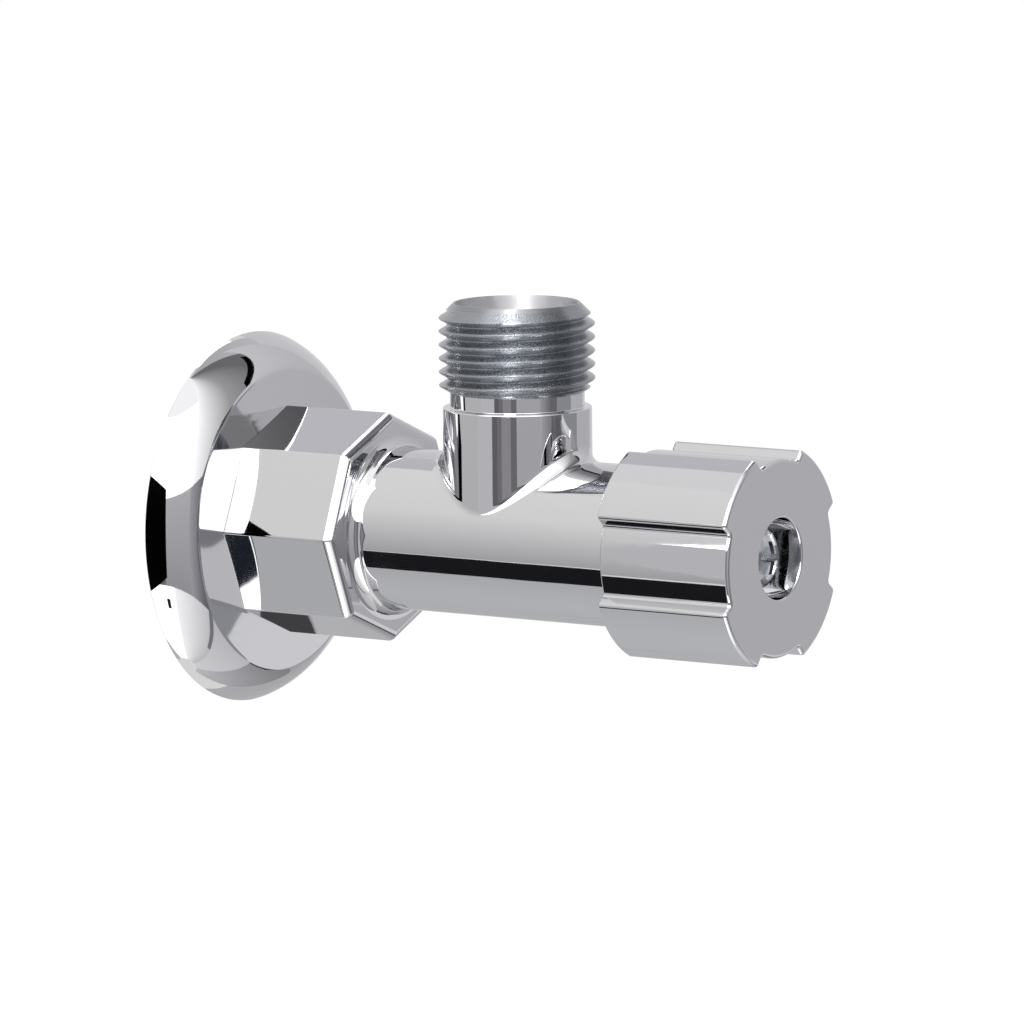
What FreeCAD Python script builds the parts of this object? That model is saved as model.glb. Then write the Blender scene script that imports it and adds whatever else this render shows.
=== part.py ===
import FreeCAD, Part
import math
import os
from types import SimpleNamespace

import Sketcher

# Supply stop valve: a chrome plated angle valve with a quarter-turn ceramic headwork.
# The origin is the centre of the rosette's wall plane, on the barrel's axis.
# +X runs out of the wall to the knob, +Z runs up the outlet, and lengths are millimetres.

# Driving sizes, by the piece that they belong to.
SIZES = {
    # Rosette: a stamped dish with a flat land, a shallow cone, a crease and a round flank
    "rosette_height": 6.58,
    "rosette_rim_radius": 25.25,
    "rosette_flank_radius": 10.4,
    "rosette_flank_set_back": 3.68,
    "rosette_crease_radius": 20.5,
    "rosette_land_width": 0.9,
    "rosette_sheet": 0.7,
    # Threads of the inlet and the outlet, both G 1/2, drawn at their major diameter
    "thread_radius": 10.45,
    "thread_relief_radius": 9.0,
    "thread_relief_length": 2.0,
    # Valve body: inlet spigot, octagon and barrel
    "inlet_reach": 9.5,
    "inlet_chamfer": 1.2,
    "inlet_bore_radius": 6.2,
    "octagon_step": 3.525,
    "octagon_length": 16.88,
    "octagon_edge_round": 1.3,
    "octagon_foot_round": 1.7,
    "barrel_radius": 10.86,
    "barrel_end": 66.0,
    # Valve body: outlet branch
    "outlet_centre": 43.31,
    "outlet_radius": 9.96,
    "outlet_shoulder": 17.7,
    "outlet_top": 31.63,
    "outlet_rim_radius": 8.45,
    "outlet_mouth_radius": 8.21,
    "outlet_mouth_depth": 8.0,
    "outlet_bore_radius": 7.0,
    "outlet_foot_round": 2.2,
    # Valve body: chamber for the headwork
    "seat_place": 34.0,
    "chamber_radius": 8.75,
    "chamber_length": 18.0,
    "headwork_thread_radius": 9.25,
    "barrel_mouth_radius": 9.6,
    "barrel_mouth_depth": 2.0,
    # Headwork housing
    "cage_wall": 0.8,
    "cage_gap": 0.2,
    "window_width": 10.0,
    "window_length": 6.2,
    "flange_radius": 10.4,
    "flange_thickness": 1.6,
    "hexagon_corner_radius": 9.2,
    "hexagon_height": 2.8,
    "crown_inner_radius": 5.4,
    "crown_outer_radius": 6.8,
    "crown_height": 2.0,
    # Seal, support ring and ceramic discs, from the seat outwards
    "seal_length": 3.0,
    "seal_inner_radius": 6.3,
    "seal_lip": 0.5,
    "support_wall": 0.85,
    "fixed_disc_thickness": 2.6,
    "moving_disc_thickness": 2.3,
    "disc_web_radius": 1.4,
    "disc_opening_radius": 5.2,
    "disc_opening_half_angle": 40.0,
    "disc_notch_radius": 5.7,
    "disc_notch_depth": 1.2,
    "disc_lug_half_width": 1.5,
    "disc_lug_reach": 8.4,
    # Spindle
    "stem_radius": 4.0,
    "driver_gap": 2.5,
    "driver_thickness": 2.2,
    "prong_half_angle": 20.0,
    "ring_groove_radius": 2.5,
    "ring_groove_width": 1.9,
    "first_ring_step": 4.8,
    "second_ring_step": 9.4,
    "stop_flat": 3.3,
    "spline_tip_radius": 3.9,
    "spline_root_radius": 3.45,
    "spline_length": 4.4,
    "tapped_hole_radius": 2.0,
    "tapped_hole_depth": 10.5,
    # Rings on the spindle and in the housing
    "stem_ring_thickness": 1.5,
    "barrel_ring_thickness": 1.6,
    "thrust_washer_thickness": 0.9,
    "snap_ring_thickness": 0.6,
    "snap_ring_radius": 5.0,
    "snap_ring_opening": 3.0,
    "snap_groove_depth": 0.7,
    "stop_ring_thickness": 1.2,
    "stop_ring_radius": 5.1,
    "stop_lug_half_angle": 14.0,
    "turn_range": 90.0,
    "stop_play": 1.5,
    # Knob
    "knob_radius": 14.9,
    "knob_length": 19.8,
    "knob_cover": 1.5,
    "knob_skirt_gap": 0.44,
    "knob_front_wall": 2.2,
    "knob_face_round": 0.5,
    "recess_depth": 1.75,
    "recess_floor_half_angle": 20.5,
    "recess_rim_half_angle": 22.6,
    "recess_round": 0.6,
    "hub_radius": 8.4,
    "hub_web": 2.0,
    "screw_well_radius": 5.35,
    "screw_well_depth": 5.1,
    # Insert, screw and washer of the knob
    "insert_corner_radius": 6.9,
    "screw_head_radius": 4.0,
    "screw_head_height": 3.1,
    "screw_head_edge": 1.5,
    "screw_length": 12.0,
    "screw_tip_chamfer": 0.5,
    "screw_recess_width": 0.9,
    "screw_recess_span": 4.4,
    "screw_recess_depth": 1.7,
    "screw_washer_thickness": 0.8,
    "screw_washer_slit": 0.6,
    # Clearances
    "running_gap": 0.05,
    "seated_gap": 0.03,
    "slot_gap": 0.1,
    "lapped_gap": 0.02,
    "cage_foot_gap": 0.3,
    "hub_gap": 0.3,
    "rosette_hole_gap": 0.2,
    "screw_hole_gap": 0.2,
    "thread_start_gap": 0.2,
}
SPLINES = 20
OCTAGON_SIDES = 8
HEXAGON_SIDES = 6
KNOB_RECESSES = 4
RING_SIDES = 8
FLANK_SIDES = 3

# How far a cutting outline runs past the piece, and how close two lengths count as the same
OVERCUT = 1
SLACK = 0.01


class Size:
    """A number with the sheet expression that gives it."""

    def __init__(self, value, text=None):
        self.value = float(value)
        self.text = repr(self.value) if text is None else text

    def joined(self, other, sign, value):
        return Size(value, f"({self.text} {sign} {other.text})")

    def __add__(self, other):
        other = as_size(other)
        return self.joined(other, "+", self.value + other.value)

    def __sub__(self, other):
        other = as_size(other)
        return self.joined(other, "-", self.value - other.value)

    def __mul__(self, other):
        other = as_size(other)
        return self.joined(other, "*", self.value * other.value)

    def __truediv__(self, other):
        other = as_size(other)
        return self.joined(other, "/", self.value / other.value)

    def __neg__(self):
        return Size(-self.value, f"(-{self.text})")


def as_size(number):
    """The number itself if it is a Size, or a fixed number as a Size."""
    return number if isinstance(number, Size) else Size(number)


def root(number):
    """Square root of a Size."""
    return Size(math.sqrt(number.value), f"sqrt({number.text})")


def at_angle(radius, degrees):
    """The point at a radius and an angle, as a pair of Sizes."""
    degrees = as_size(degrees)
    angle = math.radians(degrees.value)
    across = Size(math.cos(angle), f"cos({degrees.text})")
    up = Size(math.sin(angle), f"sin({degrees.text})")
    return radius * across, radius * up


doc = FreeCAD.newDocument("SupplyStopValve")
sheet = doc.addObject("Spreadsheet::Sheet", "Sizes")
for row, (alias, number) in enumerate(SIZES.items(), start=1):
    sheet.set(f"A{row}", alias.replace("_", " "))
    sheet.set(f"B{row}", str(number))
    sheet.setAlias(f"B{row}", alias)
doc.recompute()
size = SimpleNamespace(**{alias: Size(number, f"Sizes.{alias}") for alias, number in SIZES.items()})

# Places along the barrel's axis, from the wall to the knob's face
octagon_front = size.rosette_height + size.octagon_length
chamber_end = size.seat_place + size.chamber_length
cage_radius = size.chamber_radius - size.cage_gap
cage_bore = cage_radius - size.cage_wall
cage_bottom = size.seat_place + size.cage_foot_gap
fixed_disc_back = size.seat_place + size.seal_length
moving_disc_back = fixed_disc_back + size.fixed_disc_thickness + size.lapped_gap
moving_disc_front = moving_disc_back + size.moving_disc_thickness
driver_back = moving_disc_front + size.driver_gap
driver_front = driver_back + size.driver_thickness
thrust_washer_back = driver_front + size.running_gap
cage_shoulder = thrust_washer_back + size.thrust_washer_thickness + size.running_gap
flange_front = size.barrel_end + size.flange_thickness
hexagon_top = flange_front + size.hexagon_height
crown_top = hexagon_top + size.crown_height
snap_ring_back = hexagon_top + size.running_gap
stop_ring_back = snap_ring_back + size.snap_ring_thickness + size.running_gap
stop_ring_front = stop_ring_back + size.stop_ring_thickness
spindle_end = stop_ring_front + size.spline_length
knob_back = size.barrel_end - size.knob_cover
knob_front = knob_back + size.knob_length
well_floor = knob_front - size.screw_well_depth
web_back = well_floor - size.hub_web
hub_back = stop_ring_front + size.hub_gap
screw_head_back = well_floor + size.screw_washer_thickness

# Radii that follow from their neighbours
octagon_flat = size.barrel_radius + size.octagon_step
octagon_corner = octagon_flat / math.cos(math.pi / OCTAGON_SIDES)
rosette_hole = size.thread_radius + size.rosette_hole_gap
stem_bore = size.stem_radius + size.running_gap
disc_radius = cage_bore - size.slot_gap
driver_radius = disc_radius - size.running_gap
skirt_bore = size.barrel_radius + size.knob_skirt_gap
recess_radius = size.knob_radius - size.recess_depth
screw_radius = size.tapped_hole_radius - size.running_gap
screw_hole_radius = size.tapped_hole_radius + size.screw_hole_gap

bodies = {}


def new_body(name):
    """An empty body whose label is the piece's name."""
    body = doc.addObject("PartDesign::Body", name)
    body.Label = name
    bodies[name] = body
    return body


def datum(body, role):
    """The body's own origin plane or axis that has this role."""
    return next(item for item in body.Origin.OriginFeatures if item.Role == role)


def new_sketch(body, role, along=None, aside=None):
    """A sketch on an origin plane, moved along its normal or aside in its plane."""
    sketch = body.newObject("Sketcher::SketchObject", f"{body.Name}_sketch")
    sketch.AttachmentSupport = (datum(body, role), [""])
    sketch.MapMode = "FlatFace"
    if along is not None:
        sketch.setExpression(".AttachmentOffset.Base.z", as_size(along).text)
    if aside is not None:
        sketch.setExpression(".AttachmentOffset.Base.x", as_size(aside).text)
    return sketch


def tie(sketch, kind, geometry, corner, number, axis):
    """Tie one coordinate of a corner to a size, or to the sketch's axis where it is zero."""
    number = as_size(number)
    if number.text == "0.0":
        sketch.addConstraint(Sketcher.Constraint("PointOnObject", geometry, corner, axis))
        return
    index = sketch.addConstraint(Sketcher.Constraint(kind, -1, 1, geometry, corner, number.value))
    sketch.setExpression(f"Constraints[{index}]", number.text)


def vector(corner):
    """The corner's place as the sketch starts."""
    return FreeCAD.Vector(as_size(corner[0]).value, as_size(corner[1]).value, 0)


def arc_between(start, end, radius, left):
    """An arc from start to end whose centre lies on the left or right of the way."""
    middle = (start + end) * 0.5
    half = (end - start).Length / 2
    rise = math.sqrt(max(radius * radius - half * half, 0))
    aside = FreeCAD.Vector(start.y - end.y, end.x - start.x, 0).normalize()
    centre = middle + aside * (rise if left else -rise)
    through = centre + (middle - centre).normalize() * radius
    return Part.Arc(start, through, end)


def outline(sketch, corners, arcs=None):
    """Closed outline through corners. arcs gives, by the number of a corner, the radius and
    the side of the centre of an arc that leaves that corner in place of a straight line."""
    arcs = arcs or {}
    count = len(corners)
    first = sketch.GeometryCount
    ends = []
    for number in range(count):
        start = vector(corners[number])
        end = vector(corners[(number + 1) % count])
        if number in arcs:
            radius, left = arcs[number]
            edge = arc_between(start, end, as_size(radius).value, left)
        else:
            edge = Part.LineSegment(start, end)
        geometry = sketch.addGeometry(edge, False)
        off_first = (sketch.getPoint(geometry, 1) - start).Length
        off_second = (sketch.getPoint(geometry, 2) - start).Length
        forward = off_first < off_second
        ends.append((1, 2) if forward else (2, 1))
    for number in range(count):
        geometry = first + number
        following = first + (number + 1) % count
        joint = (geometry, ends[number][1], following, ends[(number + 1) % count][0])
        sketch.addConstraint(Sketcher.Constraint("Coincident", *joint))
    for number, (across, up) in enumerate(corners):
        tie(sketch, "DistanceX", first + number, ends[number][0], across, -2)
        tie(sketch, "DistanceY", first + number, ends[number][0], up, -1)
    for number, (radius, _) in arcs.items():
        radius = as_size(radius)
        index = sketch.addConstraint(Sketcher.Constraint("Radius", first + number, radius.value))
        sketch.setExpression(f"Constraints[{index}]", radius.text)


def circle(sketch, radius):
    """A circle about the sketch's origin."""
    radius = as_size(radius)
    ring = Part.Circle(FreeCAD.Vector(), FreeCAD.Vector(0, 0, 1), radius.value)
    geometry = sketch.addGeometry(ring, False)
    sketch.addConstraint(Sketcher.Constraint("Coincident", geometry, 3, -1, 1))
    index = sketch.addConstraint(Sketcher.Constraint("Radius", geometry, radius.value))
    sketch.setExpression(f"Constraints[{index}]", radius.text)


def ring_of_corners(count, *radii):
    """Corners evenly spaced around the origin, whose radii take turns. The first is at the top."""
    total = count * len(radii)
    return [at_angle(radii[number % len(radii)], 90 + 360 * number / total) for number in range(total)]


def box_corners(low_across, high_across, low_up, high_up):
    """The corners of an upright rectangle."""
    return [(low_across, low_up), (high_across, low_up), (high_across, high_up), (low_across, high_up)]


def sector(inner, outer, middle, half_angle):
    """Corners and arcs of a ring's sector about a middle angle."""
    start = as_size(middle) - half_angle
    end = as_size(middle) + half_angle
    corners = [at_angle(inner, start), at_angle(outer, start), at_angle(outer, end), at_angle(inner, end)]
    return corners, {1: (outer, True), 3: (inner, False)}


def feature(body, kind, sketch, **settings):
    """A sketch-based feature of the body. Sizes among the settings are bound to the sheet."""
    item = body.newObject(f"PartDesign::{kind}", f"{body.Name}_{kind.lower()}")
    item.Profile = (sketch, [""])
    for name, value in settings.items():
        if isinstance(value, Size):
            item.setExpression(name, value.text)
        else:
            setattr(item, name, value)
    sketch.Visibility = False
    body.Tip = item
    return item


def revolved(body, kind, sketch, axis="H_Axis"):
    """A full turn of the sketch about one of its axes."""
    return feature(body, kind, sketch, ReferenceAxis=(sketch, [axis]), Angle=360.0)


def turned(name, corners, arcs=None):
    """A piece turned about the barrel's axis from a half section of places and radii."""
    body = new_body(name)
    sketch = new_sketch(body, "XZ_Plane")
    outline(sketch, corners, arcs)
    revolved(body, "Revolution", sketch)
    return body


def repeated(body, item, count):
    """Copies of a feature, evenly spaced about the barrel's axis."""
    pattern = body.newObject("PartDesign::PolarPattern", f"{body.Name}_pattern")
    pattern.Originals = [item]
    pattern.Axis = (datum(body, "X_Axis"), [""])
    pattern.Angle = 360
    pattern.Occurrences = count
    body.Tip = pattern
    return pattern


def rounded(body, radius, belongs):
    """Round the body's edges all of whose points belong."""
    doc.recompute()
    base = body.Tip
    names = []
    for number, edge in enumerate(base.Shape.Edges, start=1):
        if all(belongs(point) for point in edge.discretize(Number=7)):
            names.append(f"Edge{number}")
    if not names:
        raise RuntimeError(f"{body.Label}: no edge to round")
    item = body.newObject("PartDesign::Fillet", f"{body.Name}_fillet")
    item.Base = (base, names)
    item.setExpression("Radius", radius.text)
    body.Tip = item
    return item


def off_axis(point):
    """A point's distance from the barrel's axis."""
    return math.hypot(point.y, point.z)


def near(number, wanted, slack=SLACK):
    """Whether two lengths are the same within a slack."""
    return abs(number - wanted) < slack


def make_valve_body():
    """One forging: spigot, octagon, barrel and outlet branch, then the waterways."""
    inlet_end = -size.inlet_reach
    relief_start = size.rosette_height - size.thread_relief_length
    middle = size.rosette_height + size.octagon_length / 2
    body = turned("valve_body", [
        (inlet_end, 0),
        (inlet_end, size.thread_radius - size.inlet_chamfer),
        (inlet_end + size.inlet_chamfer, size.thread_radius),
        (relief_start, size.thread_radius),
        (relief_start, size.thread_relief_radius),
        (middle, size.thread_relief_radius),
        (middle, size.barrel_radius),
        (size.barrel_end, size.barrel_radius),
        (size.barrel_end, 0),
    ])
    octagon = new_sketch(body, "YZ_Plane", along=size.rosette_height)
    outline(octagon, ring_of_corners(OCTAGON_SIDES, octagon_corner))
    feature(body, "Pad", octagon, Length=size.octagon_length)

    # The branch stands on the barrel's axis, with a shoulder, a relief neck and the thread
    relief_top = size.outlet_shoulder + size.thread_relief_length
    chamfer = size.thread_radius - size.outlet_rim_radius
    branch = new_sketch(body, "XZ_Plane", aside=size.outlet_centre)
    outline(branch, [
        (0, 0),
        (size.outlet_radius, 0),
        (size.outlet_radius, size.outlet_shoulder),
        (size.thread_relief_radius, size.outlet_shoulder),
        (size.thread_relief_radius, relief_top),
        (size.thread_radius, relief_top),
        (size.thread_radius, size.outlet_top - chamfer),
        (size.outlet_rim_radius, size.outlet_top),
        (0, size.outlet_top),
    ])
    revolved(body, "Revolution", branch, "V_Axis")

    barrel = size.barrel_radius.value
    outlet = size.outlet_radius.value
    centre = size.outlet_centre.value
    front = octagon_front.value
    flat = octagon_flat.value

    def in_branch_foot(point):
        off_branch = math.hypot(point.x - centre, point.y)
        return near(off_axis(point), barrel) and near(off_branch, outlet) and point.z > 0

    def on_octagon_rim(point):
        return near(point.x, front) and off_axis(point) > flat - SLACK

    def in_octagon_foot(point):
        return near(point.x, front) and near(off_axis(point), barrel)

    rounded(body, size.outlet_foot_round, in_branch_foot)
    rounded(body, size.octagon_edge_round, on_octagon_rim)
    rounded(body, size.octagon_foot_round, in_octagon_foot)

    mouth_start = size.barrel_end - size.barrel_mouth_depth
    waterway = new_sketch(body, "XZ_Plane")
    outline(waterway, [
        (inlet_end, 0),
        (inlet_end, size.inlet_bore_radius),
        (size.seat_place, size.inlet_bore_radius),
        (size.seat_place, size.chamber_radius),
        (chamber_end, size.chamber_radius),
        (chamber_end, size.headwork_thread_radius),
        (mouth_start, size.headwork_thread_radius),
        (mouth_start, size.barrel_mouth_radius),
        (size.barrel_end, size.barrel_mouth_radius),
        (size.barrel_end, 0),
    ])
    revolved(body, "Groove", waterway)

    step = size.outlet_mouth_radius - size.outlet_bore_radius
    mouth_floor = size.outlet_top - size.outlet_mouth_depth
    outlet_bore = new_sketch(body, "XZ_Plane", aside=size.outlet_centre)
    outline(outlet_bore, [
        (0, 0),
        (size.outlet_bore_radius, 0),
        (size.outlet_bore_radius, mouth_floor - step),
        (size.outlet_mouth_radius, mouth_floor),
        (size.outlet_mouth_radius, size.outlet_top),
        (0, size.outlet_top),
    ])
    revolved(body, "Groove", outlet_bore, "V_Axis")


def make_wall_rosette():
    """A dish of sheet: land against the octagon, shallow cone, crease and round flank.
    The flank's hidden inside is drawn with a few flats."""
    land = rosette_hole + size.rosette_land_width
    flank = size.rosette_flank_radius
    set_back = size.rosette_flank_set_back
    flank_centre = size.rosette_rim_radius - root(flank * flank - set_back * set_back)
    aside = size.rosette_crease_radius - flank_centre
    crease_place = root(flank * flank - aside * aside) - set_back

    rim_angle = math.degrees(math.asin(set_back.value / flank.value))
    crease_angle = math.degrees(math.acos(aside.value / flank.value))
    step = (crease_angle - rim_angle) / FLANK_SIDES
    inner_flank = flank - size.rosette_sheet
    inside = []
    for number in range(FLANK_SIDES):
        off_centre, off_wall = at_angle(inner_flank, crease_angle - number * step)
        inside.append((off_wall - set_back, flank_centre + off_centre))

    turned("wall_rosette", [
        (0, size.rosette_rim_radius),
        (crease_place, size.rosette_crease_radius),
        (size.rosette_height, land),
        (size.rosette_height, rosette_hole),
        (size.rosette_height - size.rosette_sheet, rosette_hole),
        (size.rosette_height - size.rosette_sheet, land),
        *inside,
        (0, size.rosette_rim_radius - size.rosette_sheet),
    ], {0: (flank, False)})


def make_headwork_housing():
    """Turned housing: cage with two windows, thread, flange, hexagon and stop crown."""
    thread = size.headwork_thread_radius - size.seated_gap
    thread_start = chamber_end + size.thread_start_gap
    groove_back = size.barrel_end - size.barrel_mouth_depth + size.slot_gap
    groove_radius = size.barrel_mouth_radius - size.barrel_ring_thickness - size.seated_gap * 2
    body = turned("headwork_housing", [
        (cage_bottom, cage_bore),
        (cage_bottom, cage_radius),
        (thread_start, cage_radius),
        (thread_start, thread),
        (groove_back, thread),
        (groove_back, groove_radius),
        (size.barrel_end, groove_radius),
        (size.barrel_end, size.flange_radius),
        (flange_front, size.flange_radius),
        (flange_front, size.hexagon_corner_radius),
        (hexagon_top, size.hexagon_corner_radius),
        (hexagon_top, size.crown_outer_radius),
        (crown_top, size.crown_outer_radius),
        (crown_top, size.crown_inner_radius),
        (hexagon_top, size.crown_inner_radius),
        (hexagon_top, stem_bore),
        (cage_shoulder, stem_bore),
        (cage_shoulder, cage_bore),
    ])
    window_start = moving_disc_back + size.running_gap
    window = new_sketch(body, "XY_Plane")
    half_width = size.window_width / 2
    outline(window, box_corners(window_start, window_start + size.window_length, -half_width, half_width))
    feature(body, "Pocket", window, Type=1, Midplane=True)

    # Slots at the mouth of the cage take the two lugs of the fixed disc
    slot = new_sketch(body, "XZ_Plane")
    half_slot = size.disc_lug_half_width + size.slot_gap
    slot_end = moving_disc_back
    outline(slot, box_corners(cage_bottom - OVERCUT, slot_end, -half_slot, half_slot))
    feature(body, "Pocket", slot, Type=1, Midplane=True)

    hexagon = new_sketch(body, "YZ_Plane", along=hexagon_top)
    outline(hexagon, ring_of_corners(HEXAGON_SIDES, size.hexagon_corner_radius))
    circle(hexagon, size.flange_radius + OVERCUT)
    feature(body, "Pocket", hexagon, Length=size.hexagon_height)

    # The crown is open where the stop ring's lug travels
    play = size.stop_lug_half_angle + size.stop_play
    reach = size.crown_outer_radius + OVERCUT * 4
    third = size.turn_range / 3
    gap = new_sketch(body, "YZ_Plane", along=crown_top)
    outline(gap, [
        (0, 0),
        at_angle(reach, -play),
        at_angle(reach, third),
        at_angle(reach, third * 2),
        at_angle(reach, size.turn_range + play),
    ])
    feature(body, "Pocket", gap, Length=size.crown_height)


def make_seals():
    """Rubber seal with a lip on the body's seat, and the ring that supports it from inside."""
    seal_outer = cage_bore - size.slot_gap
    turned("seat_seal", [
        (size.seat_place, size.seal_inner_radius),
        (size.seat_place, seal_outer - size.seal_lip),
        (size.seat_place + size.seal_lip, seal_outer),
        (fixed_disc_back, seal_outer),
        (fixed_disc_back, size.seal_inner_radius),
    ])
    support_outer = size.seal_inner_radius - size.seated_gap
    support_inner = support_outer - size.support_wall
    turned("seal_support_ring", [
        (cage_bottom, support_inner),
        (cage_bottom, support_outer),
        (fixed_disc_back, support_outer),
        (fixed_disc_back, support_inner),
    ])


def open_disc(name, back, thickness, opening_angle):
    """A ceramic disc with two opposite sector openings."""
    front = back + thickness
    body = turned(name, [(back, 0), (back, disc_radius), (front, disc_radius), (front, 0)])
    opening = new_sketch(body, "YZ_Plane", along=front)
    corners, arcs = sector(size.disc_web_radius, size.disc_opening_radius, opening_angle,
                           size.disc_opening_half_angle)
    outline(opening, corners, arcs)
    repeated(body, feature(body, "Pocket", opening, Type=1, Midplane=True), 2)
    return body


def make_discs():
    """The fixed disc opens up and down. The moving disc is a quarter turn away when closed."""
    fixed = open_disc("fixed_disc", fixed_disc_back, size.fixed_disc_thickness, 90)
    lugs = new_sketch(fixed, "YZ_Plane", along=fixed_disc_back)
    reach = size.disc_lug_reach
    half_lug = size.disc_lug_half_width
    outline(lugs, box_corners(disc_radius - OVERCUT, reach, -half_lug, half_lug))
    repeated(fixed, feature(fixed, "Pad", lugs, Length=size.fixed_disc_thickness), 2)

    moving = open_disc("moving_disc", moving_disc_back, size.moving_disc_thickness, 0)
    notch = new_sketch(moving, "YZ_Plane", along=moving_disc_front)
    corners, arcs = sector(size.disc_notch_radius, disc_radius + OVERCUT, 90,
                           size.prong_half_angle + 1)
    outline(notch, corners, arcs)
    repeated(moving, feature(moving, "Pocket", notch, Length=size.disc_notch_depth), 2)


def make_spindle():
    """Driver flange with two prongs, stem with seal grooves, stop flats and splined end."""
    groove = size.ring_groove_radius
    rings = []
    for step in (size.first_ring_step, size.second_ring_step):
        start = cage_shoulder + step
        end = start + size.ring_groove_width
        rings += [(start, size.stem_radius), (start, groove), (end, groove), (end, size.stem_radius)]
    snap_front = snap_ring_back + size.snap_ring_thickness
    snap_groove = size.stem_radius - size.snap_groove_depth
    body = turned("spindle", [
        (driver_back, 0),
        (driver_back, driver_radius),
        (driver_front, driver_radius),
        (driver_front, size.stem_radius),
        *rings,
        (snap_ring_back, size.stem_radius),
        (snap_ring_back, snap_groove),
        (snap_front, snap_groove),
        (snap_front, size.stem_radius),
        (stop_ring_front, size.stem_radius),
        (stop_ring_front, 0),
    ])
    prong = new_sketch(body, "YZ_Plane", along=driver_back)
    corners, arcs = sector(size.disc_notch_radius + size.slot_gap, driver_radius, 90, size.prong_half_angle)
    outline(prong, corners, arcs)
    prong_length = size.driver_gap + size.disc_notch_depth - size.running_gap
    repeated(body, feature(body, "Pad", prong, Length=prong_length, Reversed=True), 2)

    flats = new_sketch(body, "YZ_Plane", along=stop_ring_front)
    beyond = size.stem_radius + OVERCUT
    outline(flats, box_corners(size.stop_flat, beyond, -size.stem_radius, size.stem_radius))
    repeated(body, feature(body, "Pocket", flats, Length=size.stop_ring_thickness), 2)

    splines = new_sketch(body, "YZ_Plane", along=stop_ring_front)
    outline(splines, ring_of_corners(SPLINES, size.spline_tip_radius, size.spline_root_radius))
    feature(body, "Pad", splines, Length=size.spline_length)

    hole = new_sketch(body, "XZ_Plane")
    hole_floor = spindle_end - size.tapped_hole_depth
    outline(hole, [
        (hole_floor - size.tapped_hole_radius / 2, 0),
        (hole_floor, size.tapped_hole_radius),
        (spindle_end, size.tapped_hole_radius),
        (spindle_end, 0),
    ])
    revolved(body, "Groove", hole)


def rubber_ring(name, place, middle, section):
    """A sealing ring in its groove, whose round section is drawn with a few flats."""
    corners = [at_angle(section, 360 * (number + 0.5) / RING_SIDES) for number in range(RING_SIDES)]
    turned(name, [(place + across, middle + up) for across, up in corners])


def make_rings():
    """Rubber rings, thrust washer, snap ring and stop ring."""
    mouth_middle = size.barrel_end - size.barrel_mouth_depth / 2
    barrel_ring = size.barrel_ring_thickness / 2
    barrel_ring_middle = size.barrel_mouth_radius - size.seated_gap - barrel_ring
    rubber_ring("headwork_o_ring", mouth_middle, barrel_ring_middle, barrel_ring)
    stem_ring = size.stem_ring_thickness / 2
    stem_ring_middle = size.ring_groove_radius + size.seated_gap + stem_ring
    for name, step in (("inner", size.first_ring_step), ("outer", size.second_ring_step)):
        groove_middle = cage_shoulder + step + size.ring_groove_width / 2
        rubber_ring(f"spindle_o_ring_{name}", groove_middle, stem_ring_middle, stem_ring)

    washer_front = thrust_washer_back + size.thrust_washer_thickness
    washer_outer = cage_bore - size.slot_gap
    turned("thrust_washer", [
        (thrust_washer_back, stem_bore + size.slot_gap),
        (thrust_washer_back, washer_outer),
        (washer_front, washer_outer),
        (washer_front, stem_bore + size.slot_gap),
    ])

    snap_inner = size.stem_radius - size.snap_groove_depth + size.seated_gap
    snap_back = snap_ring_back + size.lapped_gap
    snap_front = snap_ring_back + size.snap_ring_thickness - size.lapped_gap
    snap = turned("snap_ring", [
        (snap_back, snap_inner),
        (snap_back, size.snap_ring_radius),
        (snap_front, size.snap_ring_radius),
        (snap_front, snap_inner),
    ])
    opening = new_sketch(snap, "XY_Plane")
    half_opening = size.snap_ring_opening / 2
    outline(opening, box_corners(snap_back - OVERCUT, snap_front + OVERCUT, -half_opening, half_opening))
    feature(snap, "Pocket", opening, Type=1)

    # The stop ring holds on the stem's flats, and its lug runs between the ends of the crown
    stop = new_body("stop_ring")
    disc = new_sketch(stop, "YZ_Plane", along=stop_ring_back)
    circle(disc, size.stop_ring_radius)
    feature(stop, "Pad", disc, Length=size.stop_ring_thickness)
    lug = new_sketch(stop, "YZ_Plane", along=stop_ring_back)
    lug_root = size.stop_ring_radius - OVERCUT
    corners, arcs = sector(lug_root, size.crown_outer_radius, 0, size.stop_lug_half_angle)
    outline(lug, corners, arcs)
    feature(stop, "Pad", lug, Length=size.stop_ring_thickness)
    eye = new_sketch(stop, "YZ_Plane", along=stop_ring_front)
    flat = size.stop_flat + size.seated_gap
    eye_radius = size.stem_radius + size.seated_gap
    rise = root(eye_radius * eye_radius - flat * flat)
    outline(eye, [(flat, -rise), (flat, rise), (-flat, rise), (-flat, -rise)],
            {1: (eye_radius, True), 3: (eye_radius, True)})
    feature(stop, "Pocket", eye, Type=1, Midplane=True)


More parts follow.
